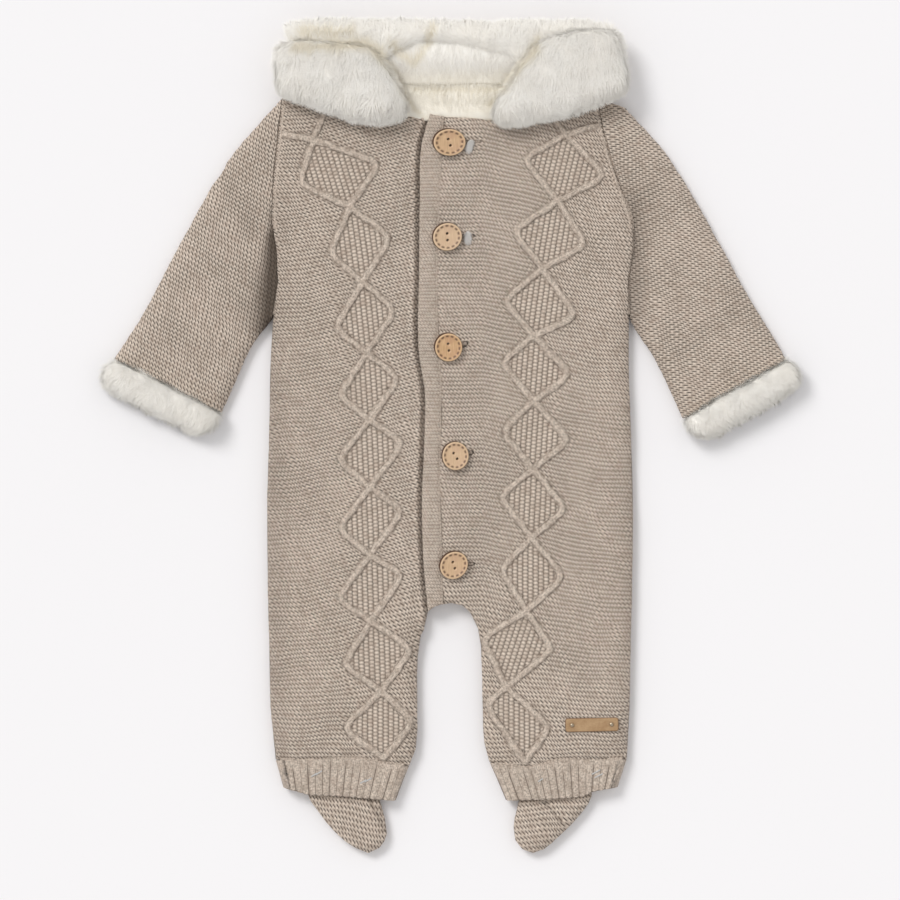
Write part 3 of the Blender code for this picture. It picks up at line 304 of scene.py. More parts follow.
def smooth(table, step):
    """Points about step apart on a smooth curve through the table's points."""
    points = np.array(table, float)
    along = arc_length(points)
    slope = np.gradient(points, along, axis=0)
    line = []
    for i in range(len(points) - 1):
        length = along[i + 1] - along[i]
        count = max(1, round(length / step))
        for t in np.arange(count) / count:
            a, b = 2 * t**3 - 3 * t**2 + 1, t**3 - 2 * t**2 + t
            c, d = 3 * t**2 - 2 * t**3, t**3 - t**2
            line.append(a * points[i] + c * points[i + 1] + length * (b * slope[i] + d * slope[i + 1]))
    return np.array(line + [points[-1]])


def along_line(points, share):
    """The point at that share of the line's length."""
    along = arc_length(points)
    at = np.asarray(share) * along[-1]
    return np.stack([np.interp(at, along, points[:, k]) for k in range(2)], axis=-1)


def distance(xy, line):
    """From each point to the nearest point of the line."""
    nearest = np.full(len(xy), np.inf)
    for start, step in zip(line[:-1], np.diff(line, axis=0)):
        t = unit(((xy - start) @ step) / max(step @ step, 1e-12))
        gap = xy - start - t[:, None] * step
        nearest = np.minimum(nearest, (gap * gap).sum(1))
    return np.sqrt(nearest)


def inside(xy, loop):
    """Whether each point is inside the closed loop."""
    loop = np.asarray(loop, float)
    odd = np.zeros(len(xy), bool)
    x, y = xy.T
    for (ax, ay), (bx, by) in zip(loop, np.roll(loop, -1, axis=0)):
        if ay != by:
            odd ^= ((ay > y) != (by > y)) & (x < ax + (y - ay) * (bx - ax) / (by - ay))
    return odd


def thinned(points, cell):
    """The points, with one kept in each cell."""
    keys = np.round(points / cell).astype(np.int64)
    _, first = np.unique(keys, axis=0, return_index=True)
    return points[np.sort(first)]


def waver(xy, length, seed):
    """A soft, uneven field between about -1 and 1, with waves of about that length."""
    rng = np.random.default_rng(seed)
    total = np.zeros(len(xy))
    for _ in range(7):
        angle = rng.uniform(0, TURN)
        pitch = length * rng.uniform(0.7, 1.6)
        across = xy[:, :2] @ (math.cos(angle), math.sin(angle))
        total += np.sin(TURN / pitch * across + rng.uniform(0, 6.28))
    return total / 2.6


# Cables and diamonds


def cable_lines(start, column, tails):
    """The middles of a column's cables: its tails, and two sides of each diamond in one line."""
    lines = [straight([start, tail], 9.0) for tail in tails]
    top = np.array(start)
    for left_x, left_y, right_x, right_y, foot_x, foot_y in column:
        foot = np.array((foot_x, foot_y))
        for corner in (np.array((left_x, left_y)), np.array((right_x, right_y))):
            before = corner + (top - corner) * DIAMOND_CORNER / np.linalg.norm(top - corner)
            after = corner + (foot - corner) * DIAMOND_CORNER / np.linalg.norm(foot - corner)
            turn = (before + after + 2 * corner) / 4
            lines.append(straight([top, before, turn, after, foot], 16.0))
        top = foot
    return lines


def diamonds(start, column):
    """The outlines of a column's diamonds."""
    made = []
    top = start
    for left_x, left_y, right_x, right_y, foot_x, foot_y in column:
        made.append(np.array([top, (left_x, left_y), (foot_x, foot_y), (right_x, right_y)]))
        top = (foot_x, foot_y)
    return made


def nearest(xy, lines):
    """From each point to the nearest of the lines."""
    return np.min([distance(xy, line) for line in lines], axis=0)


def within_any(xy, shapes):
    return np.any([inside(xy, shape) for shape in shapes], axis=0)


def cad_relief(xy, lines, shapes):
    """Height that the CAD model's cables and diamonds have."""
    near = nearest(xy, lines)
    ridge = unit((CABLE_HALF_WIDTH - near) / (CABLE_HALF_WIDTH - CABLE_CROWN))
    sunk = within_any(xy, shapes)
    return CABLE_HEIGHT * ridge - DIAMOND_SINK * (1 - ridge) * sunk


# Stitches: (s, t) counts stitches and ridges, with each ridge half a stitch on from the last.


class Rows:
    """Rows of stitches: their gauge, the direction they run in and how they rise."""

    def __init__(self, stitch=STITCH, ridge=RIDGE, turn=0.0, rise=None):
        self.stitch, self.ridge = stitch, ridge
        self.axes = np.array([
            (math.cos(turn), math.sin(turn)),
            (-math.sin(turn), math.cos(turn)),
        ])
        self.rise = rise or (lambda across, up: np.zeros(len(across)))

    def count(self, xy):
        across, up = (xy @ self.axes.T).T
        t = (up - self.rise(across, up)) / self.ridge
        uneven = 0.22 * waver(xy, 19.0, 3), 0.14 * waver(xy, 31.0, 4)
        return np.column_stack([across / self.stitch + 0.5 * t + uneven[0], t + uneven[1]])

    def points(self, low, high):
        """Two points to a stitch and four to a ridge, over the box."""
        st = self.count(np.array([(x, y) for x in (low[0], high[0]) for y in (low[1], high[1])]))
        (s0, t0), (s1, t1) = st.min(0) - 10, st.max(0) + 10
        s, t = grid(np.arange(math.floor(s0), s1, 0.5), np.arange(math.floor(t0), t1, 0.25)).T
        across = (s - 0.5 * t) * self.stitch
        up = t * self.ridge
        for _ in range(5):
            up = t * self.ridge + self.rise(across, up)
        xy = np.column_stack([across, up]) @ self.axes
        return xy[((xy > low) & (xy < high)).all(1)]


def stitch_depth(st):
    """How far down the knitting is at each point, from 0 on a ridge to 1 in a hole."""
    wave = np.sin(TURN * st[:, 0])
    valley = 0.5 + 0.5 * np.cos(TURN * (st[:, 1] + WAVE * wave))
    hole = 0.5 + 0.5 * np.cos(TURN * st[:, 0])
    return valley * (0.4 + 0.6 * hole)


# Meshes


def node_bmesh(name):
    """The CAD node's mesh in millimetres, with its corners joined."""
    bm = bmesh.new()
    bm.from_mesh(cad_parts[name].data)
    bmesh.ops.scale(bm, vec=(1 / MM,) * 3, verts=bm.verts)
    bmesh.ops.remove_doubles(bm, verts=bm.verts, dist=0.002)
    bm.normal_update()
    return bm


def facing(bm, side):
    """The faces of one side: up for 1, down for -1."""
    flat = [f for f in bm.faces if f.normal.z * side > 0.9]
    seed = max(flat, key=lambda f: f.calc_center_median().z * side)
    found, todo = {seed}, [seed]
    while todo:
        for edge in todo.pop().edges:
            for face in edge.link_faces:
                if face not in found and face.normal.z * side > 0.1:
                    found.add(face)
                    todo.append(face)
    return found


def split_edge(bm, edge, count):
    start, end = edge.verts
    for k in range(count, 1, -1):
        _, start = bmesh.utils.edge_split(edge, start, 1 / k)
        edge = bm.edges.get((start, end))


def rim_loops(rim):
    """The edges chained into loops of vertices, the longest first and each anticlockwise."""
    links = {}
    for edge in rim:
        for vert in edge.verts:
            links.setdefault(vert, []).append(edge)
    loops, used = [], set()
    for first in rim:
        if first in used:
            continue
        used.add(first)
        loop = [first.verts[0], first.verts[1]]
        while True:
            onward = [e for e in links[loop[-1]] if e not in used]
            if not onward:
                break
            used.add(onward[0])
            loop.append(onward[0].other_vert(loop[-1]))
        if loop[0] is loop[-1]:
            loop.pop()
        xy = np.array([v.co.xy for v in loop])
        area = np.sum(xy[:, 0] * np.roll(xy[:, 1], -1) - np.roll(xy[:, 0], -1) * xy[:, 1])
        loops.append(loop if area > 0 else loop[::-1])
    return sorted(loops, key=len, reverse=True)


def new_piece(name, mesh, finish, nodes=()):
    made = bpy.data.objects.new(name, mesh)
    bpy.context.scene.collection.objects.link(made)
    mesh.materials.clear()
    mesh.materials.append(finish)
    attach(made, "root")
    if nodes:
        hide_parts(*nodes)
    return made


def coordinates(mesh):
    co = np.empty(3 * len(mesh.vertices))
    mesh.vertices.foreach_get("co", co)
    return co.reshape(-1, 3)


def normals(mesh):
    values = np.empty(3 * len(mesh.vertices))
    mesh.vertex_normals.foreach_get("vector", values)
    return values.reshape(-1, 3)


def solid(name, points, faces):
    """A smooth mesh from points in millimetres."""
    mesh = bpy.data.meshes.new(name)
    mesh.from_pydata(points * MM, [], faces)
    mesh.shade_smooth()
    return mesh


def store_finish(mesh, finish):
    """Keeps the finish of each vertex for the materials."""
    data = mesh.attributes.new("finish", "FLOAT_COLOR", "POINT").data
    data.foreach_set("color", np.ascontiguousarray(finish, np.float32).ravel())


def store_stitch(mesh, st):
    """Keeps the stitch counts of each vertex for the knitting."""
    data = mesh.attributes.new("stitch", "FLOAT_VECTOR", "POINT").data
    vectors = np.column_stack([st, np.zeros((len(st), 3 - st.shape[1]))])
    data.foreach_set("vector", np.ascontiguousarray(vectors, np.float32).ravel())


def settle(bm, verts, rim, rounds):
    """Evens out the heights of the new vertices, with the rim held."""
    bm.verts.index_update()
    index = np.array([v.index for v in verts])
    fixed = np.array([v in rim for v in verts])
    place = np.full(len(bm.verts), -1)
    place[index] = np.arange(len(verts))
    pairs = np.array([(e.verts[0].index, e.verts[1].index) for e in bm.edges])
    pairs = place[pairs]
    pairs = pairs[(pairs >= 0).all(1)]
    z = np.array([v.co.z for v in verts])
    a, b = pairs.T
    count = np.bincount(a, minlength=len(z)) + np.bincount(b, minlength=len(z))
    for _ in range(rounds):
        total = np.bincount(a, z[b], len(z)) + np.bincount(b, z[a], len(z))
        z = np.where(fixed, z, 0.5 * z + 0.5 * total / np.maximum(count, 1))
    return z


def triangulated(outlines, fine, nearness):
    """Triangles inside the outlines: points, triangles, the outlines' numbers and which each point has."""
    coords, regions = [], []
    for loop in outlines:
        regions.append(list(range(len(coords), len(coords) + len(loop))))
        coords += [tuple(point) for point in loop]
    rim_count = len(coords)
    coords += [tuple(point) for point in fine]
    out = delaunay_2d_cdt([Vector(c) for c in coords], [], regions, 1, nearness, True)
    triangles = [corners for corners, found in zip(out[2], out[5]) if list(found) == [0]]
    known = [[i for i in origin if i < rim_count] for origin in out[3]]
    return out[0], triangles, regions, known


def rim_edges(bm, picked):
    """The edges between the picked faces and the others."""
    return [e for e in bm.edges if sum(f in picked for f in e.link_faces) == 1 and len(e.link_faces) > 1]


def refined(bm, picked, own, points, side):
    """Puts a fine surface in place of the picked faces: its vertices, and those of its rim."""
    order = list(own)
    place = {v: i for i, v in enumerate(order)}
    tree = BVHTree.FromPolygons([v.co for v in order], [[place[v] for v in f.verts] for f in picked])
    for edge in rim_edges(bm, picked):
        count = math.ceil(edge.calc_length() / RIM_STEP)
        if count > 1:
            split_edge(bm, edge, count)
    loops = rim_loops(rim_edges(bm, picked))
    rim = [v for loop in loops for v in loop]
    bmesh.ops.delete(bm, geom=list(picked), context="FACES")
    outlines = [np.array([v.co.xy for v in loop]) for loop in loops]
    fine = points(outlines[0].min(0) - 1, outlines[0].max(0) + 1)
    fine = fine[inside(fine, outlines[0])]
    for loop in outlines:
        fine = fine[distance(fine, closed(loop)) > RIM_CLEAR]
    for hole in outlines[1:]:
        fine = fine[~inside(fine, hole)]
    corners, triangles, _, known = triangulated(outlines, fine, 1e-5)
    verts = []
    for corner, numbers in zip(corners, known):
        if numbers:
            verts.append(rim[numbers[0]])
            continue
        hit = tree.ray_cast(Vector((corner.x, corner.y, 100.0 * side)), Vector((0, 0, -side)))[0]
        if hit is None:
            hit = tree.find_nearest(Vector((corner.x, corner.y, 0.0)))[0]
        verts.append(bm.verts.new((corner.x, corner.y, hit.z)))
    for triangle in triangles:
        chosen = [verts[i] for i in triangle]
        if len(set(chosen)) == 3:
            bm.faces.new(chosen[::side])
    loose = [v for v in bm.verts if not v.link_faces]
    alone = set(loose)
    verts = [v for v in dict.fromkeys(verts) if v not in alone]
    bmesh.ops.delete(bm, geom=loose, context="VERTS")
    return verts, set(rim)


def knitted(
    node, name, points, rows, side=1, base=None, relief=None, rounds=30, walls=(0, 0, 0, 0), shade=None,
):
    """A cloth node with fine knitting on its upper side, or its under side for a side of -1.

    points(low, high) gives the fine points of a box, and base(verts) first changes the side's own vertices.
    relief(xy, st) gives (height, finish) on that side, walls is the finish of the rest and shade(co) darkens
    both. A finish is cable, diamond, bead and shade, but where the cable is over 0.5 its last channel counts
    the cable's lines. rounds is how often the new heights are evened out.
    """
    bm = node_bmesh(node)
    picked = facing(bm, side)
    own = {v for f in picked for v in f.verts}
    if base:
        base(own)
    verts, rim = refined(bm, picked, own, points, side)
    z = settle(bm, verts, rim, rounds)
    for vert, height in zip(verts, z):
        vert.co.z = height
    bmesh.ops.triangulate(bm, faces=[f for f in bm.faces if len(f.verts) > 4])
    bm.verts.index_update()
    index = np.array([v.index for v in verts])
    rim_height = np.mean(z[[v in rim for v in verts]])
    mesh = bpy.data.meshes.new(name)
    bm.to_mesh(mesh)
    bm.free()
    mesh.shade_smooth()
    co, out_way = coordinates(mesh), normals(mesh)
    flat = unrolled(co, out_way, side, rim_height)
    flat[index] = co[index, :2]
    st = rows.count(flat)
    finish = np.tile(np.array(walls, float), (len(co), 1))
    height = np.zeros(len(co))
    height[index] = -VALLEY * stitch_depth(st[index])
    if relief:
        height[index], finish[index] = relief(co[index, :2], st[index])
    if shade:
        finish[:, 3] += shade(co)
    co += out_way * height[:, None]
    mesh.vertices.foreach_set("co", (co * MM).ravel())
    store_stitch(mesh, st)
    store_finish(mesh, finish)
    mesh.update()
    return mesh


def knit_piece(node, name, points, rows, **settings):
    return new_piece(name, knitted(node, name, points, rows, **settings), KNIT, (node,))


def unrolled(co, out_way, side, rim_height):
    """Where each vertex would be on the flat cloth: a wall's lower vertices lie further out."""
    flat = np.linalg.norm(out_way[:, :2], axis=1)
    down = np.maximum((rim_height - co[:, 2]) * side, 0.0)
    push = np.where(flat > 0.35, down, 0.0) / np.maximum(flat, 1e-6)
    return co[:, :2] + out_way[:, :2] * push[:, None]


# Materials


class Finish:
    """A procedural material, built up from small nodes."""

    def __init__(self, name, **constants):
        self.material = bpy.data.materials.new(name)
        self.material.use_nodes = True
        self.tree = self.material.node_tree
        self.shader = self.tree.nodes["Principled BSDF"]
        for socket, value in constants.items():
            self.shader.inputs[socket.replace("_", " ")].default_value = value

    def put(self, socket, value):
        if isinstance(value, bpy.types.NodeSocket):
            self.tree.links.new(value, socket)
        elif hasattr(value, "__len__") and len(value) == 3 and socket.type == "RGBA":
            socket.default_value = (*value, 1.0)
        else:
            socket.default_value = value

    def add(self, kind, inputs=(), **settings):
        node = self.tree.nodes.new(kind)
        for key, value in settings.items():
            setattr(node, key, value)
        for socket, value in dict(inputs).items():
            self.put(node.inputs[socket], value)
        return node

    def math(self, operation, *inputs):
        return self.add("ShaderNodeMath", enumerate(inputs), operation=operation).outputs[0]

    def plus(self, *inputs):
        return self.math("ADD", *inputs)

    def times(self, *inputs):
        return self.math("MULTIPLY", *inputs)

    def cosine(self, turns):
        return self.math("COSINE", self.times(turns, TURN))

    def swell(self, turns, depth=0.5):
        """A cosine of that depth about a half."""
        return self.math("MULTIPLY_ADD", self.cosine(turns), depth, 0.5)

    def between(self, share, first, second):
        """A number between two others."""
        return self.add("ShaderNodeMix", {0: share, 2: first, 3: second}).outputs[0]

    def attribute(self, name):
        return self.add("ShaderNodeAttribute", attribute_name=name).outputs["Vector"]

    def parts(self, vector):
        return self.add("ShaderNodeSeparateXYZ", {0: vector}).outputs[:3]

    def place(self):
        return self.add("ShaderNodeTexCoord").outputs["Object"]

    def stretched(self, vector, scale, turn=0.0):
        inputs = {"Vector": vector, "Scale": scale, "Rotation": (0.0, 0.0, turn)}
        return self.add("ShaderNodeMapping", inputs).outputs[0]

    def noise(self, vector, scale, detail=2.0, roughness=0.5):
        inputs = {"Vector": vector, "Scale": scale, "Detail": detail, "Roughness": roughness}
        return self.add("ShaderNodeTexNoise", inputs).outputs[0]

    def span(self, value, from_low, from_high, low, high):
        inputs = {0: value, 1: from_low, 2: from_high, 3: low, 4: high}
        return self.add("ShaderNodeMapRange", inputs).outputs[0]

    def mix(self, share, first, second, blend="MIX"):
        node = self.add("ShaderNodeMix", data_type="RGBA", blend_type=blend)
        self.put(node.inputs[0], share)
        self.put(node.inputs[6], first)
        self.put(node.inputs[7], second)
        return node.outputs[2]

    def bump(self, height, depth, strength=1.0, normal=None):
        node = self.add("ShaderNodeBump", {"Height": height, "Distance": depth, "Strength": strength})
        if normal:
            self.put(node.inputs["Normal"], normal)
        return node.outputs[0]

    def finish(self, colour, normal=None, roughness=None):
        self.put(self.shader.inputs["Base Color"], colour)
        if normal:
            self.put(self.shader.inputs["Normal"], normal)
        if roughness is not None:
            self.put(self.shader.inputs["Roughness"], roughness)
        return self.material


def knit_finish():
    """Heathered knitting from the stitch counts: light ridges, holes darkened with painted shade, plain
    cables and beads.
    """
    f = Finish("knit_yarn", Roughness=0.92, Sheen_Weight=0.12, Sheen_Roughness=0.5, Specular_IOR_Level=0.2)
    s, t, _ = f.parts(f.attribute("stitch"))
    cable, diamond, bead = f.parts(f.attribute("finish"))
    place = f.place()
    patches = f.noise(place, 38.0, 2.0)

    # Dark dashes in the valleys, darkest in the holes, and a faint second row on the ridges: painted shade
    # where the knitting dips
    row = f.plus(t, f.times(f.math("SINE", f.times(s, TURN)), WAVE))
    valley = f.span(f.math("POWER", f.swell(row), 1.15), 0.1, 0.86, 0.0, 1.0)
    even = f.span(patches, 0.35, 0.65, 0.3, 0.58)
    hole = f.plus(even, f.times(f.swell(s), f.math("SUBTRACT", 1.0, even)))
    ridge = f.math("POWER", f.swell(f.plus(row, 0.5)), 3.0)
    gap = f.swell(f.plus(s, 0.2), -0.5)
    garter = f.plus(f.times(valley, hole), f.times(f.times(ridge, gap), 0.34))
    garter = f.math("MINIMUM", garter, 1.0)

    # Beads and cables: the dark between the beads is painted shade
    beads = f.times(f.math("POWER", f.math("SUBTRACT", 1.0, bead), 1.9), 0.95)
    rope_and_shade = f.add("ShaderNodeAttribute", attribute_name="finish").outputs["Alpha"]
    flecks = f.span(f.noise(place, 640.0, 3.0, 0.65), 0.43, 0.63, 0.08, 0.56)
    plain = f.math("MULTIPLY_ADD", f.cosine(rope_and_shade), 0.08, flecks)
    dark = f.between(cable, f.between(diamond, garter, beads), plain)

    # Yarn: single stitches, plies and fibres, which the dark dashes hide
    whole = f.add("ShaderNodeVectorMath", {0: f.attribute("stitch"), 1: (0.5, 0.5, 0.0)}, operation="ADD")
    whole = f.add("ShaderNodeVectorMath", {0: whole.outputs[0]}, operation="FLOOR").outputs[0]
    single = f.add("ShaderNodeTexWhiteNoise", {"Vector": whole}, noise_dimensions="3D").outputs["Value"]
    open_yarn = f.math("MULTIPLY_ADD", dark, -0.75, 1.0)
    plies = f.noise(f.stretched(place, (1.7, 0.8, 1.0), -0.6), 620.0, 2.0, 0.6)
    fibres = f.noise(f.stretched(place, (1.0, 1.6, 1.0), 0.5), 1400.0, 3.0, 0.7)
    plies_share = f.times(f.span(plies, 0.42, 0.68, 0.0, 0.36), open_yarn)
    fibres_share = f.times(f.span(fibres, 0.48, 0.72, 0.0, 0.42), open_yarn)
    tints = f.noise(place, 210.0, 2.0, 0.6)
    # Off the cables the finish's fourth channel is painted shade
    shade = f.times(rope_and_shade, f.math("SUBTRACT", 1.0, cable))
    # The dark share is painted shade, near black deep in the holes
    colour = f.mix(dark, (0.84, 0.711, 0.595), (0.014, 0.009, 0.006))
    for share, tone in (
        (f.times(f.math("POWER", single, 2.0), 0.42), (0.26, 0.185, 0.135)),
        (plies_share, (0.36, 0.265, 0.20)),
        (fibres_share, (0.80, 0.74, 0.67)),
        (f.span(tints, 0.4, 0.7, 0.0, 0.16), (0.60, 0.44, 0.36)),
        (f.span(patches, 0.3, 0.7, 0.0, 0.10), (0.40, 0.36, 0.29)),
        (f.math("MINIMUM", shade, 0.9), (0.058, 0.040, 0.028)),
    ):
        colour = f.mix(share, colour, tone)
    height = f.plus(f.math("SUBTRACT", 1.0, dark), f.times(fibres, 0.25))
    return f.finish(colour, f.bump(height, 0.0007, 0.9))


def fur_finish(name, colours, sheen=0.2):
    """Soft cream fur: barely uneven in colour, with painted shade, darker and warmer, in its creases and low
    down by the lining, whose cream is partly its own.
    """
    f = Finish(name, Roughness=0.9, Sheen_Weight=sheen, Sheen_Roughness=0.6, Specular_IOR_Level=0.15)
    place = f.place()
    soft = f.noise(place, 45.0, 2.0)
    fine = f.noise(place, 900.0, 2.0)
    colour = f.mix(f.span(soft, 0.35, 0.65, 0.0, 1.0), *colours)
    colour = f.mix(f.span(fine, 0.4, 0.7, 0.0, 0.12), colour, (0.97, 0.95, 0.91))
    shade_cream_share = f.parts(f.attribute("finish"))[0]
    # Painted shade, darker and warmer, in the creases and low down; by the lining it is partly the lining's
    # own cream
    colour = f.mix(f.times(shade_cream_share, 0.8), colour, (0.84, 0.77, 0.62))
    return f.finish(colour, f.bump(fine, 0.0005, 0.4))


def wood_finish():
    """Pale turned wood with a burnt row of dashes."""
    f = Finish("wood_turned", Roughness=0.5, Specular_IOR_Level=0.4, Coat_Weight=0.1, Coat_Roughness=0.3)
    place = f.place()
    grain = f.noise(f.stretched(place, (1.0, 0.09, 1.0), 0.7), 1500.0, 3.0, 0.6)
    blotch = f.noise(place, 210.0, 2.0)
    dashes_and_edge, rim, pale = f.parts(f.attribute("finish"))
    colour = f.mix(f.span(grain, 0.35, 0.7, 0.0, 1.0), (0.66, 0.43, 0.235), (0.47, 0.28, 0.135))
    colour = f.mix(f.span(blotch, 0.45, 0.7, 0.0, 0.5), colour, (0.50, 0.27, 0.16))
    colour = f.mix(f.times(rim, 0.45), colour, (0.80, 0.60, 0.38))
    colour = f.mix(f.times(pale, 0.55), colour, (0.66, 0.52, 0.38))
    colour = f.mix(dashes_and_edge, colour, (0.085, 0.04, 0.02))
    return f.finish(colour, f.bump(grain, 0.0002, 0.3))


def plate_finish():
    f = Finish("plate_smooth", Roughness=0.55, Specular_IOR_Level=0.4)
    place = f.place()
    cloud = f.noise(place, 160.0, 3.0, 0.6)
    fine = f.noise(f.stretched(place, (0.3, 1.0, 1.0)), 1600.0, 3.0, 0.6)
    edge, _, _ = f.parts(f.attribute("finish"))
    colour = f.mix(f.span(cloud, 0.35, 0.7, 0.0, 1.0), (0.43, 0.275, 0.145), (0.34, 0.20, 0.095))
    colour = f.mix(f.span(fine, 0.4, 0.75, 0.0, 0.35), colour, (0.62, 0.43, 0.25))
    colour = f.mix(edge, colour, (0.13, 0.065, 0.03))
    return f.finish(colour, f.bump(fine, 0.0002, 0.35))


def rivet_finish():
    f = Finish("rivet_brass", Roughness=0.35, Metallic=1.0)
    wear = f.noise(f.place(), 900.0, 3.0)
    colour = f.mix(f.span(wear, 0.4, 0.7, 0.0, 1.0), (0.50, 0.42, 0.31), (0.33, 0.25, 0.17))
    return f.finish(colour, f.bump(wear, 0.0001, 0.3))


def thread_finish(name, light, dark):
    f = Finish(name, Roughness=0.85, Sheen_Weight=0.2)
    ply = f.noise(f.stretched(f.place(), (1.0, 1.0, 3.0)), 1100.0, 2.0)
    colour = f.mix(f.span(ply, 0.35, 0.65, 0.0, 1.0), light, dark)
    return f.finish(colour, f.bump(ply, 0.0002, 0.6))


def floor_finish():
    f = Finish("paper_floor", Roughness=0.95, Specular_IOR_Level=0.1)
    cloud = f.noise(f.place(), 3.0, 2.0)
    return f.finish(f.mix(cloud, (0.905, 0.89, 0.898), (0.915, 0.90, 0.908)))


KNIT = knit_finish()
FUR = fur_finish("fur_cream", ((0.975, 0.95, 0.90), (0.955, 0.925, 0.87)))
PLUSH = fur_finish("fur_plush", ((0.78, 0.75, 0.72), (0.68, 0.65, 0.62)))
SKIN = fur_finish("fur_ground", ((0.955, 0.925, 0.87), (0.935, 0.90, 0.84)))
WOOD = wood_finish()
PLATE = plate_finish()
RIVET = rivet_finish()
THREAD = thread_finish("thread_tan", (0.50, 0.42, 0.34), (0.30, 0.24, 0.18))
TACK = thread_finish("thread_grey", (0.62, 0.61, 0.60), (0.45, 0.44, 0.43))


# Fronts


def beads(xy, shapes, leans):
    """The height of the beads in the diamonds, from 0 to 1, and where the diamonds are."""
    bead, within = np.zeros(len(xy)), np.zeros(len(xy))
    for shape, lean in zip(shapes, leans):
        found = inside(xy, shape)
        angle = math.radians(lean)
        along = (xy[found] - shape.mean(0)) @ (math.sin(angle), -math.cos(angle)) / BEAD_ALONG
        across = (xy[found] - shape.mean(0)) @ (math.cos(angle), math.sin(angle)) / BEAD_ACROSS
        column = np.round(across)
        ridge = 0.12 + 0.88 * np.cos(math.pi * (across - column)) ** 0.8
        knot = 0.5 + 0.5 * np.cos(TURN * (along + 0.5 * column))
        bead[found] = ridge * (0.22 + 0.78 * knot)
        within[found] = 1.0
    return bead, within


def front_points(lines, shapes, leans, rows, covered=None):
    """The fine points of a front: along its rows, its beads and its cables, and few where it is covered."""
    def points(low, high):
        ground = rows.points(low, high)
        ground = ground[(nearest(ground, lines) > CABLE_HALF + 1.3) & ~within_any(ground, shapes)]
        made = [ground]
        for shape, lean in zip(shapes, leans):
            angle = math.radians(lean)
            steps = np.arange(-40, 41)
            axes = np.array([(math.sin(angle), -math.cos(angle)), (math.cos(angle), math.sin(angle))])
            xy = grid(steps * BEAD_ALONG / 4, steps * BEAD_ACROSS / 4) @ axes + shape.mean(0)
            made.append(xy[inside(xy, shape) & (nearest(xy, lines) > CABLE_HALF + 1.0)])
        strips = []
        for line in lines:
            fine = along_line(line, np.linspace(0, 1, max(3, round(arc_length(line)[-1] / 1.5))))
            tangent = np.gradient(fine, axis=0)
            side = np.column_stack([-tangent[:, 1], tangent[:, 0]]) / np.linalg.norm(tangent, axis=1)[:, None]
            for offset in (0.0, 0.9, -0.9, 1.7, -1.7, 2.3, -2.3, 2.9, -2.9, 3.6, -3.6):
                strips.append(fine + side * offset)
        made.append(thinned(np.vstack(strips), 0.6))
        xy = np.vstack(made)
        if covered:
            hidden = covered(xy)
            xy = np.vstack([xy[~hidden], thinned(xy[hidden], 6.0)])
        return xy
    return points


def front_relief(lines, shapes, leans, carve=None):
    """The height and finish of a front; carve(xy) gives a further fall and how flat the knitting is there."""
    def relief(xy, st):
        stray = xy + 0.3 * np.column_stack([waver(xy, 15.0, 6), waver(xy, 12.0, 7)])
        near = nearest(stray, lines) + 0.22 * waver(xy, 6.0, 8)
        cable = unit((CABLE_HALF + 0.4 - near) / 0.8)
        ridge = CABLE_RISE * np.sqrt(unit(1 - np.abs(near / CABLE_HALF) ** 2.4))
        trough = bell((near - CABLE_HALF - 0.8) / 0.7)
        bead, within = beads(xy, shapes, leans)
        within = within * (1 - cable)
        height = -VALLEY * stitch_depth(st) * (1 - within) * (1 - cable)
        height += ridge - 0.4 * trough + within * (0.9 * bead - 0.9)
        # Painted shade in the troughs beside the cables, darkened like the gaps between beads
        bead = np.where(within > 0.5, bead * (1 - 0.3 * trough), 0.15)
        within = np.maximum(within, trough * (1 - cable) * np.clip(0.4 + 0.5 * waver(xy, 8.0, 9), 0.1, 0.9))
        height -= 0.5 * np.maximum(waver(xy, 48.0, 10), -0.4)
        # Painted shade towards the outer sides, more on the right front
        outer = unit((np.abs(xy[:, 0]) - 118.0) / 14.0) * unit((205.0 - xy[:, 1]) / 30.0)
        shade = 0.14 * outer * (xy[:, 0] < 0) + 0.05 * outer
        if carve:
            fall, flat = carve(xy)
            height = height * (1 - flat) + fall
            # Painted shade in the channel beside the band
            shade = shade + 0.6 * unit(-fall / 1.9) ** 2
        return height, channels(cable, within, bead, np.where(cable > 0.5, near / 1.5, shade))
    return relief


def row_rise(side):
    """How the rows of a front rise towards its cables, less so on the leg."""
    across, rise = np.array(ROW_RISE).T

    def at(x, y):
        return np.interp(side * x, across, rise) * unit((y + 240.0) / 130.0)
    return at


def lowered(lines, shapes):
    """Takes the CAD model's cables off its upper side."""
    def base(verts):
        order = list(verts)
        xy = np.array([v.co.xy for v in order])
        for vert, height in zip(order, cad_relief(xy, lines, shapes)):
            vert.co.z -= height
    return base


def fronts():
    band = smooth(BAND_EDGE, 11.0)[::-1]

    def past_band(xy):
        return xy[:, 0] - np.interp(xy[:, 1], band[:, 1], band[:, 0])

    def under_band(xy):
        """A steep drop and a narrow channel beside the band, and how flat the knitting lies under it."""
        before = -past_band(xy)
        gentle = unit((before - DROP_CLEAR) / DROP_WIDTH)
        steep = unit((before - 2.2) / 2.0)
        channel = 1.7 * bell(np.maximum(before - 0.5, 0.0) / 0.95) * (before > -1.2)
        return 3.0 * (steep - gentle) * (before > 0) - channel, unit(1.0 - before)

    for side, name, top, tails, column, leans, flat in FRONTS:
        lines, shapes = cable_lines(top, column, tails), diamonds(top, column)
        rows = Rows(rise=row_rise(side))
        lapped = name == "right"
        covered = (lambda xy: past_band(xy) > 1.0) if lapped else None
        made = knit_piece(
            f"front_{name}", f"knit_front_{name}", front_points(lines, shapes, leans, rows, covered), rows,
            base=lowered(lines, shapes),
            relief=front_relief(lines, shapes, leans, under_band if lapped else None),
        )

    def flatter(xy, st):
        return -0.4 * stitch_depth(st), channels(np.full(len(xy), 0.34))

    rows = Rows(*BAND_GAUGE)
    strip = knit_piece("button_band", "knit_band", rows.points, rows, relief=flatter, rounds=4)


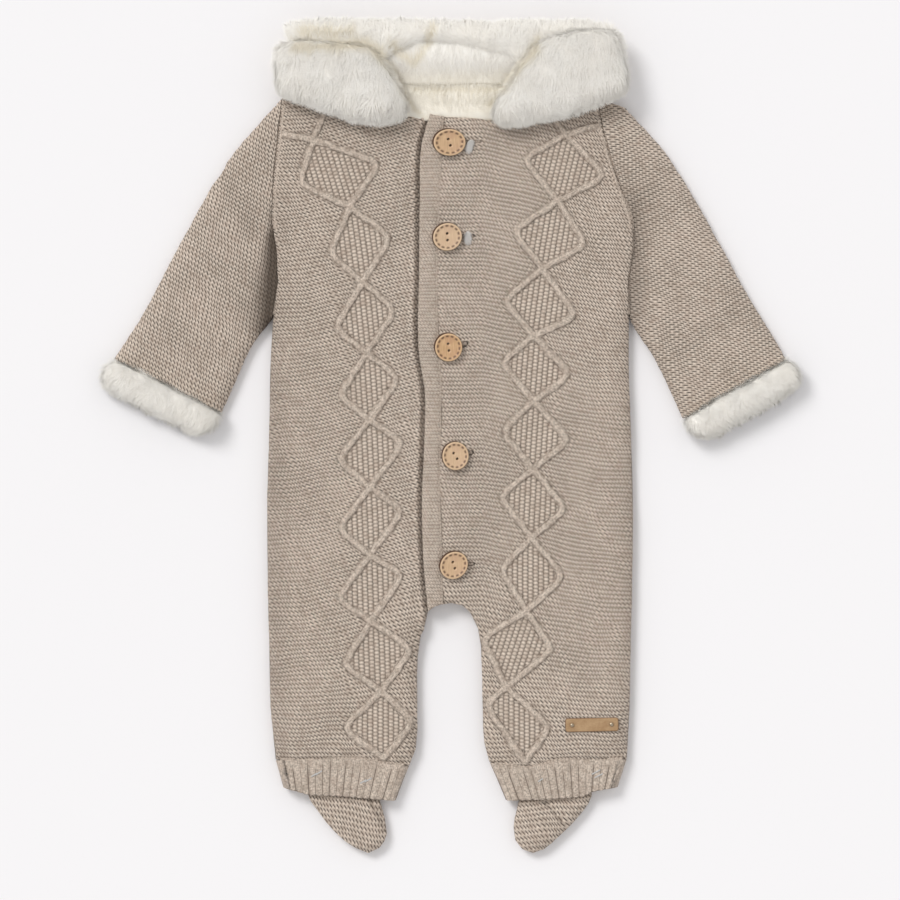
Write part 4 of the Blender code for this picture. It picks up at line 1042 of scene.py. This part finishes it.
def sleeves():
    for side, name, creases, edge, dark, top, fade, heights, reaches in SLEEVES:
        rows = Rows(turn=side * math.radians(30.0))

        def relief(xy, st, creases=creases):
            fall = np.zeros(len(xy))
            for x0, y0, x1, y1, half_width, depth in creases:
                near = distance(xy, np.array([(x0, y0), (x1, y1)], float)) / half_width
                fall += depth * np.exp(-(near**2) * (1 + 0.3 * waver(xy, 40.0, 12)))
            fall += 0.35 * waver(xy, 55.0, 14)
            height = -VALLEY * stitch_depth(st) - np.clip(fall, -0.6, 5.6)
            # Painted shade in the creases
            return height, channels(fourth=0.05 * np.clip(fall, 0, 2))

        # Painted shade in the fold at the armpit, beside the body's edge
        def armpit(co, side=side, edge=edge, dark=dark, top=top, fade=fade, heights=heights, reaches=reaches):
            x, y = co[:, :2].T
            past = np.maximum(side * x - edge, 0) / np.interp(y, heights, reaches)
            return dark * unit((top - y) / fade) * bell(past)

        made = knit_piece(
            f"sleeve_{name}", f"knit_sleeve_{name}", rows.points, rows,
            relief=relief, rounds=40, shade=armpit,
        )


def rib_phase(xy, ends, shares):
    """The rib that each point is on, counted across, and how far down it is."""
    u, share = np.zeros(len(xy)), np.zeros(len(xy))
    for _ in range(3):
        for i in range(0, len(xy), 2000):
            part = slice(i, i + 2000)
            line = (1 - u[part])[:, None, None] * ends[0] + u[part][:, None, None] * ends[1]
            best = np.linalg.norm(line - xy[part][:, None], axis=2).argmin(1)
            share[part] = shares[best]
            top = ends[0][best]
            way = ends[1][best] - top
            u[part] = ((xy[part] - top) * way).sum(1) / (way * way).sum(1)
    return (share - RIB_MARGIN) / (1 - 2 * RIB_MARGIN) * RIB_COUNT, u


def ribs():
    grooves = RIB_MARGIN + (1 - 2 * RIB_MARGIN) * np.arange(RIB_COUNT + 1) / RIB_COUNT
    shares = np.linspace(0.0, 1.0, 8 * RIB_COUNT + 1)
    shares = shares[np.abs(shares[:, None] - grooves).min(1) > 0.004]
    beside = [grooves + step for step in (-0.0045, -0.0022, 0.0, 0.0022, 0.0045)]
    shares = np.sort(np.concatenate([shares] + beside))

    def base(verts):
        """Fills the CAD model's grooves."""
        for vert in verts:
            if abs(vert.co.z - (RIB_HEIGHT - RIB_DEPTH)) < 0.05:
                vert.co.z = RIB_HEIGHT

    for name, hem, foot in (("right", HEM_RIGHT, RIB_FOOT_RIGHT), ("left", HEM_LEFT, RIB_FOOT_LEFT)):
        ends = along_line(np.array(hem), shares), along_line(np.array(foot), shares)

        def points(low, high, ends=ends):
            return np.vstack([(1 - u) * ends[0] + u * ends[1] for u in np.linspace(-0.05, 1.05, 24)])

        def relief(xy, st, ends=ends):
            rib, u = rib_phase(xy, ends, shares)
            number = np.round(rib)
            off = np.abs(rib - number) * 6.2
            groove = bell(off / (0.42 + 0.08 * np.sin(2.4 * number)))
            late = 0.12 + 0.18 * ((number * 7) % 3 == 1) + 0.05 * np.sin(5.0 * number)
            groove *= unit((u - late) / 0.25 + 0.5) * (0.45 + 0.55 * np.abs(np.sin(1.7 * number)))
            crown = np.cos(math.pi * unit(off / 3.1)) * -0.5 - 0.5
            height = -0.3 * groove + 0.28 * crown + 0.14 * np.cos(TURN * rib * 4)
            # Painted shade in each groove, where the cable channel falls and the fourth channel darkens
            return height, channels(1 - 0.82 * groove, 1.0, 0.5, 1.0 + 4.0 * np.abs(rib - number))

        made = knit_piece(
            f"ankle_rib_{name}", f"knit_rib_{name}", points, Rows(), base=base, relief=relief, rounds=6,
            walls=(1, 1, 0, 0),
        )


def feet():
    for name, turn, seam in FEET:
        rows = Rows(*FOOT_GAUGE, turn=math.radians(turn))

        def relief(xy, st, seam=np.array(seam)):
            near = bell(distance(xy, seam) / 0.9) * (0.8 + 0.3 * waver(xy, 7.0, 21))
            # Painted shade along the seam's groove
            return -VALLEY * stitch_depth(st) - 0.7 * near, channels(fourth=0.6 * unit(near))

        upper = knit_piece(
            f"foot_upper_{name}", f"knit_foot_{name}", rows.points, rows, relief=relief, rounds=10,
        )
        sole = knit_piece(f"foot_sole_{name}", f"knit_sole_{name}", rows.points, rows, side=-1, rounds=6)


def backs():
    """The plain undersides of the body and the hood."""
    def plain(xy, st):
        return np.zeros(len(xy)), np.zeros((len(xy), 4))

    def coarse(low, high):
        return grid(np.arange(low[0], high[0], 7.0), np.arange(low[1], high[1], 7.0))

    under = {"side": -1, "relief": plain, "rounds": 2}
    back = knit_piece("back_panel", "knit_back", coarse, Rows(), **under)
    hood = knit_piece("hood_shell", "knit_hood", coarse, Rows(), **under)
    for vert in hood.data.vertices:
        vert.co.x *= 0.975
        vert.co.y -= 0.0015 * (vert.co.y > 0.290)


# Fur


def fur_shade_and_cream(xyz):
    """How much painted shade each point of the fur gets: deep in the creases, and low down by the hood's
    lining, where it also gives the lining's own cream.
    """
    near = nearest(xyz[:, :2], [np.array(line) for line in FUR_CREASES])
    low = 0.55 * unit((21.0 - xyz[:, 2]) / 5.0) * (xyz[:, 1] > 225.0)
    return np.maximum(bell(near / (3.4 + 0.8 * waver(xyz, 20.0, 33))), low)


def skin(node, name, inset, lumps, seed):
    """The ground that fur grows from: the node's form drawn in, with soft lumps."""
    bm = node_bmesh(node)
    mesh = bpy.data.meshes.new(name)
    bm.to_mesh(mesh)
    bm.free()
    made = bpy.data.objects.new(name, mesh)
    bpy.context.scene.collection.objects.link(made)
    finer = made.modifiers.new("Finer", "SUBSURF")
    finer.levels = finer.render_levels = 2
    graph = bpy.context.evaluated_depsgraph_get()
    fine = bpy.data.meshes.new_from_object(made.evaluated_get(graph))
    bpy.data.objects.remove(made)
    co = coordinates(fine)
    a, b = np.array([tuple(edge.vertices) for edge in fine.edges]).T
    count = np.bincount(a, minlength=len(co)) + np.bincount(b, minlength=len(co))
    for _ in range(8):
        total = np.zeros_like(co)
        np.add.at(total, a, co[b])
        np.add.at(total, b, co[a])
        co = 0.5 * co + 0.5 * total / count[:, None]
    fine.vertices.foreach_set("co", co.ravel())
    fine.update()
    way = normals(fine)
    lump = waver(co, 38.0, seed) * 0.6 + waver(co, 15.0, seed + 1) * 0.25
    if node == "neck_lining":
        co[:, 1] += 7.0 * unit((co[:, 1] - 252.0) / 8.0) - 8.5 * unit((250.0 - co[:, 1]) / 6.0)
        co[:, 2] += 2.0 * unit((250.0 - co[:, 1]) / 6.0)
    reach = np.abs(co[:, 0])
    if node == "hood_lining":
        rise = unit((co[:, 1] - 268.0) / 20.0)
        co[:, 2] += 9.5 * rise**2 * (3 - 2 * rise) * (co[:, 2] > 12.0) * unit((70.0 - reach) / 15.0)
    if node == "hood_fur_back":
        co[:, 1] -= 7.5 * unit((301.0 - co[:, 1]) / 10.0) * unit((reach - 42.0) / 12.0)
        co[:, 0] += np.sign(co[:, 0]) * 10.0 * unit((reach - 75.0) / 35.0) ** 1.5
    elif node.startswith("hood_fur"):
        co[:, 1] += 3.5 * unit((co[:, 1] - 278.0) / 12.0)
    if node.startswith("cuff"):
        side = 1 if node.endswith("left") else -1
        co[:, :2] -= 1.4 * np.array((side * 0.5, -0.866))
    shade_cream_share = fur_shade_and_cream(co)
    co += way * (lumps * (lump - 0.4) - inset - 1.3 * (shade_cream_share - 0.4 * (shade_cream_share > 0.4)))[:, None]
    co[:, 2] = np.maximum(co[:, 2], 0.2)
    fine.vertices.foreach_set("co", (co * MM).ravel())
    fine.shade_smooth()
    fine.name = name
    fine.update()
    store_finish(fine, channels(shade_cream_share))
    return fine


def surface_samples(mesh, count, rng):
    """Points spread evenly over the mesh, with their normals, in millimetres."""
    mesh.calc_loop_triangles()
    co, way = coordinates(mesh) / MM, normals(mesh)
    corner = np.empty(3 * len(mesh.loop_triangles), np.int32)
    mesh.loop_triangles.foreach_get("vertices", corner)
    corner = corner.reshape(-1, 3)
    a, b, c = (co[corner[:, k]] for k in range(3))
    area = np.linalg.norm(np.cross(b - a, c - a), axis=1)
    pick = rng.choice(len(corner), count, p=area / area.sum())
    u, v = rng.random((2, count))
    flip = u + v > 1
    u, v = np.where(flip, 1 - u, u), np.where(flip, 1 - v, v)
    w = np.stack([1 - u - v, u, v])
    xyz = sum(w[k][:, None] * co[corner[pick, k]] for k in range(3))
    normal = sum(w[k][:, None] * way[corner[pick, k]] for k in range(3))
    return xyz, normal / np.linalg.norm(normal, axis=1)[:, None]


def pile(name, ground, count, length, lean, width, flow, seed, keep=None, clump=6.0):
    """Strands of fur as narrow ribbons that lean over along the flow."""
    rng = np.random.default_rng(seed)
    root, normal = surface_samples(ground, count, rng)
    if keep:
        good = keep(root, normal)
        root, normal = root[good], normal[good]
    count = len(root)
    way = flow(root)
    swirl = 0.4 * waver(root, 3.2 * clump, seed + 5) + rng.normal(0, 0.2, count)
    cos, sin = np.cos(swirl), np.sin(swirl)
    way = np.column_stack([cos * way[:, 0] - sin * way[:, 1], sin * way[:, 0] + cos * way[:, 1], way[:, 2]])
    way -= normal * (way * normal).sum(1)[:, None]
    way /= np.maximum(np.linalg.norm(way, axis=1), 1e-6)[:, None]
    tilt = np.radians(lean + 2.0 * waver(root, clump, seed + 9) + rng.normal(0, 3.5, count))
    long = length * (1 + 0.10 * waver(root, clump, seed + 3) + rng.normal(0, 0.14, count))
    start = np.cos(0.9 * tilt)[:, None] * normal + np.sin(0.9 * tilt)[:, None] * way
    end = np.cos(1.1 * tilt)[:, None] * normal + np.sin(1.1 * tilt)[:, None] * way
    middle = root + start * (0.5 * long)[:, None]
    tip = middle + end * (0.5 * long)[:, None]
    across = np.cross(end, normal)
    across /= np.maximum(np.linalg.norm(across, axis=1), 1e-6)[:, None]
    half = (0.5 * width * rng.uniform(0.7, 1.3, count))[:, None] * across
    points = np.stack([root - half, root + half, middle - 0.8 * half, middle + 0.8 * half, tip], axis=1)
    points[..., 2] = np.maximum(points[..., 2], 0.3)
    first = 5 * np.arange(count)[:, None]
    faces = np.concatenate([first + (0, 1, 2), first + (1, 3, 2), first + (2, 3, 4)])
    mesh = solid(name, points.reshape(-1, 3), faces)
    face_way = 0.62 * normal + 0.05 * way + (0.0, 0.0, 0.6)
    face_way = np.repeat(face_way / np.linalg.norm(face_way, axis=1)[:, None], 5, axis=0)
    mesh.normals_split_custom_set_from_vertices(face_way.tolist())
    store_finish(mesh, channels(np.repeat(fur_shade_and_cream(root), 5)))
    return mesh


def straight_flow(*way):
    """A flow that has the same direction everywhere."""
    return lambda xyz: np.tile(way, (len(xyz), 1))


def away_from(line, down, share):
    """A flow that leaves the line on both sides and is drawn down as well."""
    line = np.array(line, float)

    def flow(xyz):
        xy = xyz[:, :2]
        best, found = np.full(len(xy), np.inf), np.zeros((len(xy), 2))
        for start, step in zip(line[:-1], np.diff(line, axis=0)):
            t = unit(((xy - start) @ step) / (step @ step))
            gap = xy - start - t[:, None] * step
            near = np.linalg.norm(gap, axis=1)
            closer = near < best
            best[closer], found[closer] = near[closer], gap[closer]
        radial = found / np.maximum(best, 1.0)[:, None]
        mixed = (1 - share) * radial + share * np.array(down)
        return np.column_stack([mixed, np.full(len(xy), -0.05)])
    return flow


def fringe(node, ground, flow, seed):
    """Shorter fur that stands out round the edge."""
    def edge(root, normal):
        return (normal[:, 2] > -0.25) & (normal[:, 2] < 0.5) & (root[:, 2] > 3.0)

    strands = pile(f"{node}_fringe", ground, 26000, 6.0, 52.0, 0.27, flow, seed, keep=edge)
    new_piece(f"{node}_fringe", strands, FUR)


def fur_ground(node, inset, lumps, seed):
    mesh = skin(node, f"{node}_ground", inset, lumps, seed)
    return mesh, new_piece(f"{node}_ground", mesh, SKIN, (node,))


def fur_pile(node, *settings, **more):
    return new_piece(f"{node}_pile", pile(f"{node}_pile", *settings, **more), FUR)


def furs():
    for number, (node, count, line, down, inset, flat) in enumerate(ROLLS):
        mesh, ground = fur_ground(node, inset, 1.1, 40 + number)
        tufts = fur_pile(
            node, mesh, count, 8.0, 84.0, 0.27, away_from(line, down, 0.7), 60 + number,
            keep=lambda root, normal: normal[:, 2] > -0.35,
        )
        fringe(node, mesh, away_from(line, down, 0.5), 160 + number)
    for side, name in ((-1, "right"), (1, "left")):
        node = f"cuff_fur_{name}"
        mesh, ground = fur_ground(node, 0.5, 0.7, 50 + side)
        flow = straight_flow(side * 0.5, -0.866, -0.1)
        tufts = fur_pile(
            node, mesh, 13000, 7.5, 82.0, 0.25, flow, 70 + side,
            keep=lambda root, normal: root[:, 2] > 2.0, clump=5.0,
        )
        fringe(node, mesh, flow, 170 + side)
    for number, (node, count, flat) in enumerate(LININGS):
        mesh, ground = fur_ground(node, 0.1, 0.6, 80 + number)
        tufts = fur_pile(
            node, mesh, count, 6.0, 83.0, 0.28, straight_flow(0.0, -1.0, 0.0), 90 + number,
            keep=lambda root, normal: (normal[:, 2] > 0.3) & (root[:, 1] > 247.0),
        )


# Buttons, threads and plate


def filled(name, loops, fine, top, bottom):
    """A small slab through the fine points, between two surfaces; top(xy) gives (height, finish)."""
    corners, kept, regions, known = triangulated(loops, fine, 1e-6)
    xy = np.array([tuple(corner) for corner in corners])
    rim = {old: new for new, numbers in enumerate(known) for old in numbers}
    height, finish = top(xy)
    count = len(xy)
    points = np.vstack([np.column_stack([xy, height]), np.column_stack([xy, bottom(xy)])])
    faces = [tuple(face) for face in kept] + [tuple(count + i for i in face[::-1]) for face in kept]
    for region in regions:
        for a, b in zip(region, region[1:] + region[:1]):
            faces.append((rim[a], rim[a] + count, rim[b] + count, rim[b]))
    bm = bmesh.new()
    verts = [bm.verts.new(p * MM) for p in points]
    for face in faces:
        bm.faces.new([verts[i] for i in face])
    bmesh.ops.recalc_face_normals(bm, faces=bm.faces)
    mesh = bpy.data.meshes.new(name)
    bm.to_mesh(mesh)
    bm.free()
    store_finish(mesh, np.vstack([finish, finish]))
    mesh.shade_smooth()
    mesh.set_sharp_from_angle(angle=math.radians(50))
    return mesh


def turned(way, angle):
    """The direction, turned anticlockwise."""
    cos, sin = math.cos(angle), math.sin(angle)
    return np.array([way[0] * cos - way[1] * sin, way[0] * sin + way[1] * cos])


def add_tube(points, faces, rings):
    """Adds a closed tube through rings: each has a centre, a half width to the side and a half height."""
    first = len(points)
    for centre, height, side, half_height in rings:
        for turn in TURN * np.arange(8) / 8:
            xy = centre + side * math.cos(turn)
            points.append((*xy, height + half_height * math.sin(turn)))
    for j in range(len(rings) - 1):
        for i in range(8):
            a, b = first + 8 * j + i, first + 8 * j + (i + 1) % 8
            faces.append((a, b, b + 8, a + 8))
    faces.append(tuple(first + i for i in range(7, -1, -1)))
    faces.append(tuple(first + 8 * (len(rings) - 1) + i for i in range(8)))


def chain(name, line, height, radius, pitch=2.8, dark=0.16):
    """A row of small overlapping stitches along a seam."""
    line = np.array(line, float)
    count = max(2, round(arc_length(line)[-1] / pitch))
    middles = along_line(line, (np.arange(count) + 0.5) / count)
    tangent = np.gradient(middles, axis=0)
    tangent /= np.linalg.norm(tangent, axis=1)[:, None]
    stations = np.linspace(-1.0, 1.0, 7)
    widths = np.sqrt(np.maximum(1 - stations**2, 0.0)) + 0.02
    points, faces = [], []
    for k in range(count):
        way = turned(tangent[k], math.radians(14.0 if k % 2 else 8.0))
        side = np.array([-way[1], way[0]])
        add_tube(points, faces, [
            (middles[k] + way * u * 0.68 * pitch, height, side * radius * wide, 0.75 * radius * wide)
            for u, wide in zip(stations, widths)
        ])
    mesh = solid(name, np.array(points), faces)
    store_stitch(mesh, np.tile(np.repeat(stations, 8), count)[:, None] * 0.25)
    # dark is painted shade: how much the chain is darkened where it lies in a gap
    store_finish(mesh, channels(np.full(len(points), 1.0 - dark), 1.0, 0.0, 0.5))
    new_piece(name, mesh, KNIT)


def seams():
    for name, raglan, outward in (("right", RAGLAN_RIGHT, -1), ("left", RAGLAN_LEFT, 1)):
        line = straight(raglan, 4.0)
        low = line[(line[:, 1] < 160.0) & (line[:, 1] > 92.5)]
        line = line[(line[:, 1] > 156.0) & (line[:, 1] < 251.0)]
        # The underarm chain fills the crevice at the armpit, darkened as painted shade
        chain(f"underarm_seam_shade_{name}", low, 9.6, 1.6, dark=0.42)
        chain(f"raglan_seam_{name}", line + (0.15 * outward, 0.0), 10.6, 1.0)
        chain(f"raglan_edge_{name}", line - (2.3 * outward, 0.0), 12.6, 1.1, dark=0.05)
    chain("band_seam", straight(BAND_SEAM, 4.0), 15.0, 0.9, pitch=2.4)
    for name, hem in (("right", HEM_RIGHT), ("left", HEM_LEFT)):
        chain(f"hem_seam_{name}", straight(hem, 4.0)[1:-1] - (0.0, 0.2), 11.2, 1.5, dark=0.1)


def egg(name, half, middle, height, turn, around=24, rings=12):
    """A smooth egg of that half width and length, a millimetre up and down, turned about its middle."""
    angle, rise = grid(TURN * np.arange(around) / around, math.pi * np.arange(1, rings) / rings).T
    points = np.column_stack([np.sin(rise) * np.cos(angle), np.sin(rise) * np.sin(angle), np.cos(rise)])
    points = np.vstack([points, (0.0, 0.0, 1.0), (0.0, 0.0, -1.0)]) * (*half, 1.0)
    cos, sin = math.cos(math.radians(turn)), math.sin(math.radians(turn))
    points = points @ np.array([(cos, sin, 0.0), (-sin, cos, 0.0), (0.0, 0.0, 1.0)]) + (*middle, height)
    top = around * (rings - 1)
    faces = []
    for i in range(around):
        after = (i + 1) % around
        for first in range(0, top - around, around):
            faces.append((first + i, first + around + i, first + around + after, first + after))
        faces.append((top, i, after))
        faces.append((top + 1, top - around + after, top - around + i))
    return solid(name, points, faces)


def tuft(number, half, middle, turn):
    """The plush lining that comes out of a buttonhole."""
    mesh = egg(f"plush_tuft_{number}", half, middle, 16.0, turn)
    new_piece(mesh.name, mesh, PLUSH)
    strands = pile(
        f"plush_pile_{number}", mesh, 600, 3.4, 72.0, 0.25, straight_flow(0.3, -1.0, 0.0), 120 + number,
        keep=lambda root, normal: normal[:, 2] > 0.0, clump=3.0,
    )
    new_piece(strands.name, strands, PLUSH)


def plugs():
    """What shows in each buttonhole: turned-in knitting, and plush in the upper two."""
    for number, (x, y, _, _, _, end_x, end_y) in enumerate(BUTTONS, 1):
        # The chain in the slot is darkened as painted shade inside the buttonhole
        chain(f"buttonhole_edge_{number}", [(x, y), (end_x - 1.3, end_y)], 14.3, 1.7, pitch=2.0, dark=0.3)
        if number <= len(TUFTS):
            tuft(number, *TUFTS[number - 1])


def tacks():
    """Pale stitches that tack each rib to the plush inside it."""
    points, faces = [], []
    for x0, y0, x1, y1 in TACKS:
        start, end = np.array((x0, y0)), np.array((x1, y1))
        way = (end - start) / np.linalg.norm(end - start)
        side = TACK_RADIUS * np.array([-way[1], way[0]])
        add_tube(points, faces, [
            (
                start + (end - start) * u, RIB_HEIGHT + 0.55 * math.sin(math.pi * u) ** 0.5 - 0.5,
                side, TACK_RADIUS,
            )
            for u in np.linspace(0, 1, 9)
        ])
    new_piece("tack_stitches", solid("tack_stitches", np.array(points), faces), TACK)


def spin(angle, axis="Z"):
    """A turn by that many degrees about an axis."""
    return Matrix.Rotation(math.radians(angle), 4, axis)


def lift_to(x, y, z):
    """A move to a place in millimetres."""
    return Matrix.Translation((x * MM, y * MM, z * MM))


def rounded_box(width, height, corner):
    """A rectangle's outline with round corners, anticlockwise."""
    points = []
    for quarter, (sx, sy) in enumerate(((1, 1), (-1, 1), (-1, -1), (1, -1))):
        centre = np.array((sx * (width / 2 - corner), sy * (height / 2 - corner)))
        for part in range(7):
            angle = math.radians(90 * quarter + 15 * part)
            points.append(centre + corner * np.array((math.cos(angle), math.sin(angle))))
    points.append(points[0])
    return straight(points, 0.9)[:-1]


def plate():
    """The bare plate, with a rolled edge and a faint wear."""
    width, height = PLATE_SIZE
    loop = rounded_box(width, height, PLATE_CORNER)
    fine = grid(np.arange(-width / 2, width / 2, 0.9), np.arange(-height / 2, height / 2, 0.9))
    fine = [fine[inside(fine, loop) & (distance(fine, closed(loop)) > 1.1)]]
    for inset in (0.25, 0.55, 0.9):
        fine.append(rounded_box(width - 2 * inset, height - 2 * inset, PLATE_CORNER - inset))

    def top(xy):
        near = distance(xy, closed(loop))
        fall = 0.35 * unit(1 - near / 0.8) ** 2
        rivets = [np.hypot(xy[:, 0] - side * RIVET_APART / 2, xy[:, 1]) for side in (-1, 1)]
        dip = sum(bell(away / 2.3) for away in rivets)
        edge = unit(1.15 - near / 0.75) ** 1.5
        return PLATE_HEIGHT - fall - 0.2 * dip, channels(unit(edge + 0.35 * dip))

    mesh = filled("plate_tan", [loop], np.vstack(fine), top, lambda xy: np.zeros(len(xy)))
    made = new_piece("plate_tan", mesh, PLATE, ("plate",))
    made.matrix_world = lift_to(*PLATE_CENTRE, 14.6) @ spin(PLATE_TURN)


def circle(radius, count, centre=(0.0, 0.0)):
    angle = TURN * np.arange(count) / count
    return np.column_stack([centre[0] + radius * np.cos(angle), centre[1] + radius * np.sin(angle)])


def button_mesh():
    """A turned button with a raised rim, two holes and a burnt row of dashes."""
    r, dashes = BUTTON_RADIUS, 14
    centres = [(side * BUTTON_HOLE_APART / 2, 0.0) for side in (-1, 1)]
    holes = [circle(BUTTON_HOLE_RADIUS, 24, centre) for centre in centres]
    rings = [0.985, 0.965, 0.93, 0.89, 0.86, 0.845, 0.825, 0.80, 0.77, 0.745, 0.725, 0.66, 0.56]
    fine = [circle(r * share, 112) for share in rings] + [circle(r * share, 48) for share in (0.45, 0.34)]
    fine += [circle(BUTTON_HOLE_RADIUS + more, 24, centre) for centre in centres for more in (0.25, 0.6)]
    fine = np.vstack(fine)
    for hole in holes:
        fine = fine[~inside(fine, hole) & (distance(fine, closed(hole)) > 0.2)]

    def top(xy):
        share = np.hypot(*xy.T) / r
        turn = np.arctan2(xy[:, 1], xy[:, 0]) / TURN * dashes
        dash = unit((0.5 + 0.5 * np.cos(TURN * turn) - 0.34) / 0.2)
        dash *= unit((0.07 - np.abs(share - 0.785)) / 0.02)
        height = np.interp(
            share, [0.0, 0.60, 0.70, 0.84, 0.93, 0.975, 1.0],
            [BUTTON_FLOOR, BUTTON_FLOOR, 2.7, BUTTON_HEIGHT, BUTTON_HEIGHT, 3.1, 2.3],
        )
        near = np.min([np.hypot(xy[:, 0] - x, xy[:, 1] - y) for x, y in centres], axis=0)
        hole_rim = unit(1 - (near - BUTTON_HOLE_RADIUS) / 0.5)
        height -= 0.3 * hole_rim + 0.25 * dash
        rim = unit((share - 0.88) / 0.03) + hole_rim
        # The outer edge is drawn dark, like the dashes
        edge = unit((share - 0.968) / 0.01)
        return height, channels(np.maximum(0.8 * dash, edge), unit(rim) - edge)

    def bottom(xy):
        return 1.2 * unit((np.hypot(*xy.T) / r - 0.85) / 0.15) ** 2

    return filled("button", [circle(r, 112)] + holes, fine, top, bottom)


def buttons():
    mesh = button_mesh()
    for number, (row, shape) in enumerate(zip(BUTTONS, BUTTON_SHAPES), 1):
        x, y, tilt, tilt_way, holes_way = row[:5]
        wide, high, oval_way, pale = shape
        own = mesh.copy()
        oval, way = spin(oval_way), spin(tilt_way)
        own.transform(oval @ Matrix.Diagonal((wide, high, 1.0, 1.0)) @ oval.inverted() @ spin(holes_way))
        for vert in own.vertices:
            if vert.co.z < 1.25 * MM:
                vert.co.x -= 0.7 * MM
                vert.co.y += 0.55 * MM
        for colour in own.attributes["finish"].data:
            colour.color[2] = pale
        made = new_piece(f"wood_button_{number}", own, WOOD, (f"button_{number}",))
        place = lift_to(x, y, OVERLAP_TOP + BUTTON_LIFT)
        made.matrix_world = place @ way @ spin(tilt, "X") @ way.inverted()


def carried_over():
    """Finishes for the CAD nodes that stay as they are."""
    finishes = {"button_thread": THREAD, "plate_rivet": RIVET}
    for name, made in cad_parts.items():
        finish = finishes.get(name.rpartition("_")[0])
        if finish:
            for place in made.material_slots:
                place.material = finish


# Camera, floor and light


def stage():
    """The camera, looking straight down, the floor and the light."""
    scene = bpy.context.scene
    camera = bpy.data.cameras.new("camera")
    camera.lens, camera.sensor_width = LENS, SENSOR
    eye = bpy.data.objects.new("camera", camera)
    eye.location = (*VIEW_CENTRE, VIEW_FLOOR + VIEW_WIDTH * LENS / SENSOR)
    mesh = bpy.data.meshes.new("floor")
    corners = [(x * FLOOR_HALF, y * FLOOR_HALF, 0) for x, y in ((-1, -1), (1, -1), (1, 1), (-1, 1))]
    mesh.from_pydata(corners, [], [(0, 1, 2, 3)])
    mesh.materials.append(floor_finish())
    floor = bpy.data.objects.new("floor", mesh)
    sun = bpy.data.lights.new("key", "SUN")
    sun.energy, sun.angle = SUN_STRENGTH, math.radians(SUN_ANGLE)
    lamp = bpy.data.objects.new("key", sun)
    lamp.rotation_mode = "QUATERNION"
    lamp.rotation_quaternion = Vector(SUN_FROM).to_track_quat("Z", "Y")
    for made in (eye, floor, lamp):
        scene.collection.objects.link(made)
    scene.camera = eye
    scene.world = bpy.data.worlds.new("studio")
    scene.world.use_nodes = True
    sky = scene.world.node_tree.nodes["Background"].inputs
    sky[0].default_value, sky[1].default_value = (1.0, 1.0, 1.0, 1.0), SKY_STRENGTH
    scene.view_settings.view_transform = "Standard"


stage()
backs()
fronts()
sleeves()
ribs()
feet()
furs()
seams()
buttons()
plugs()
tacks()
plate()
carried_over()
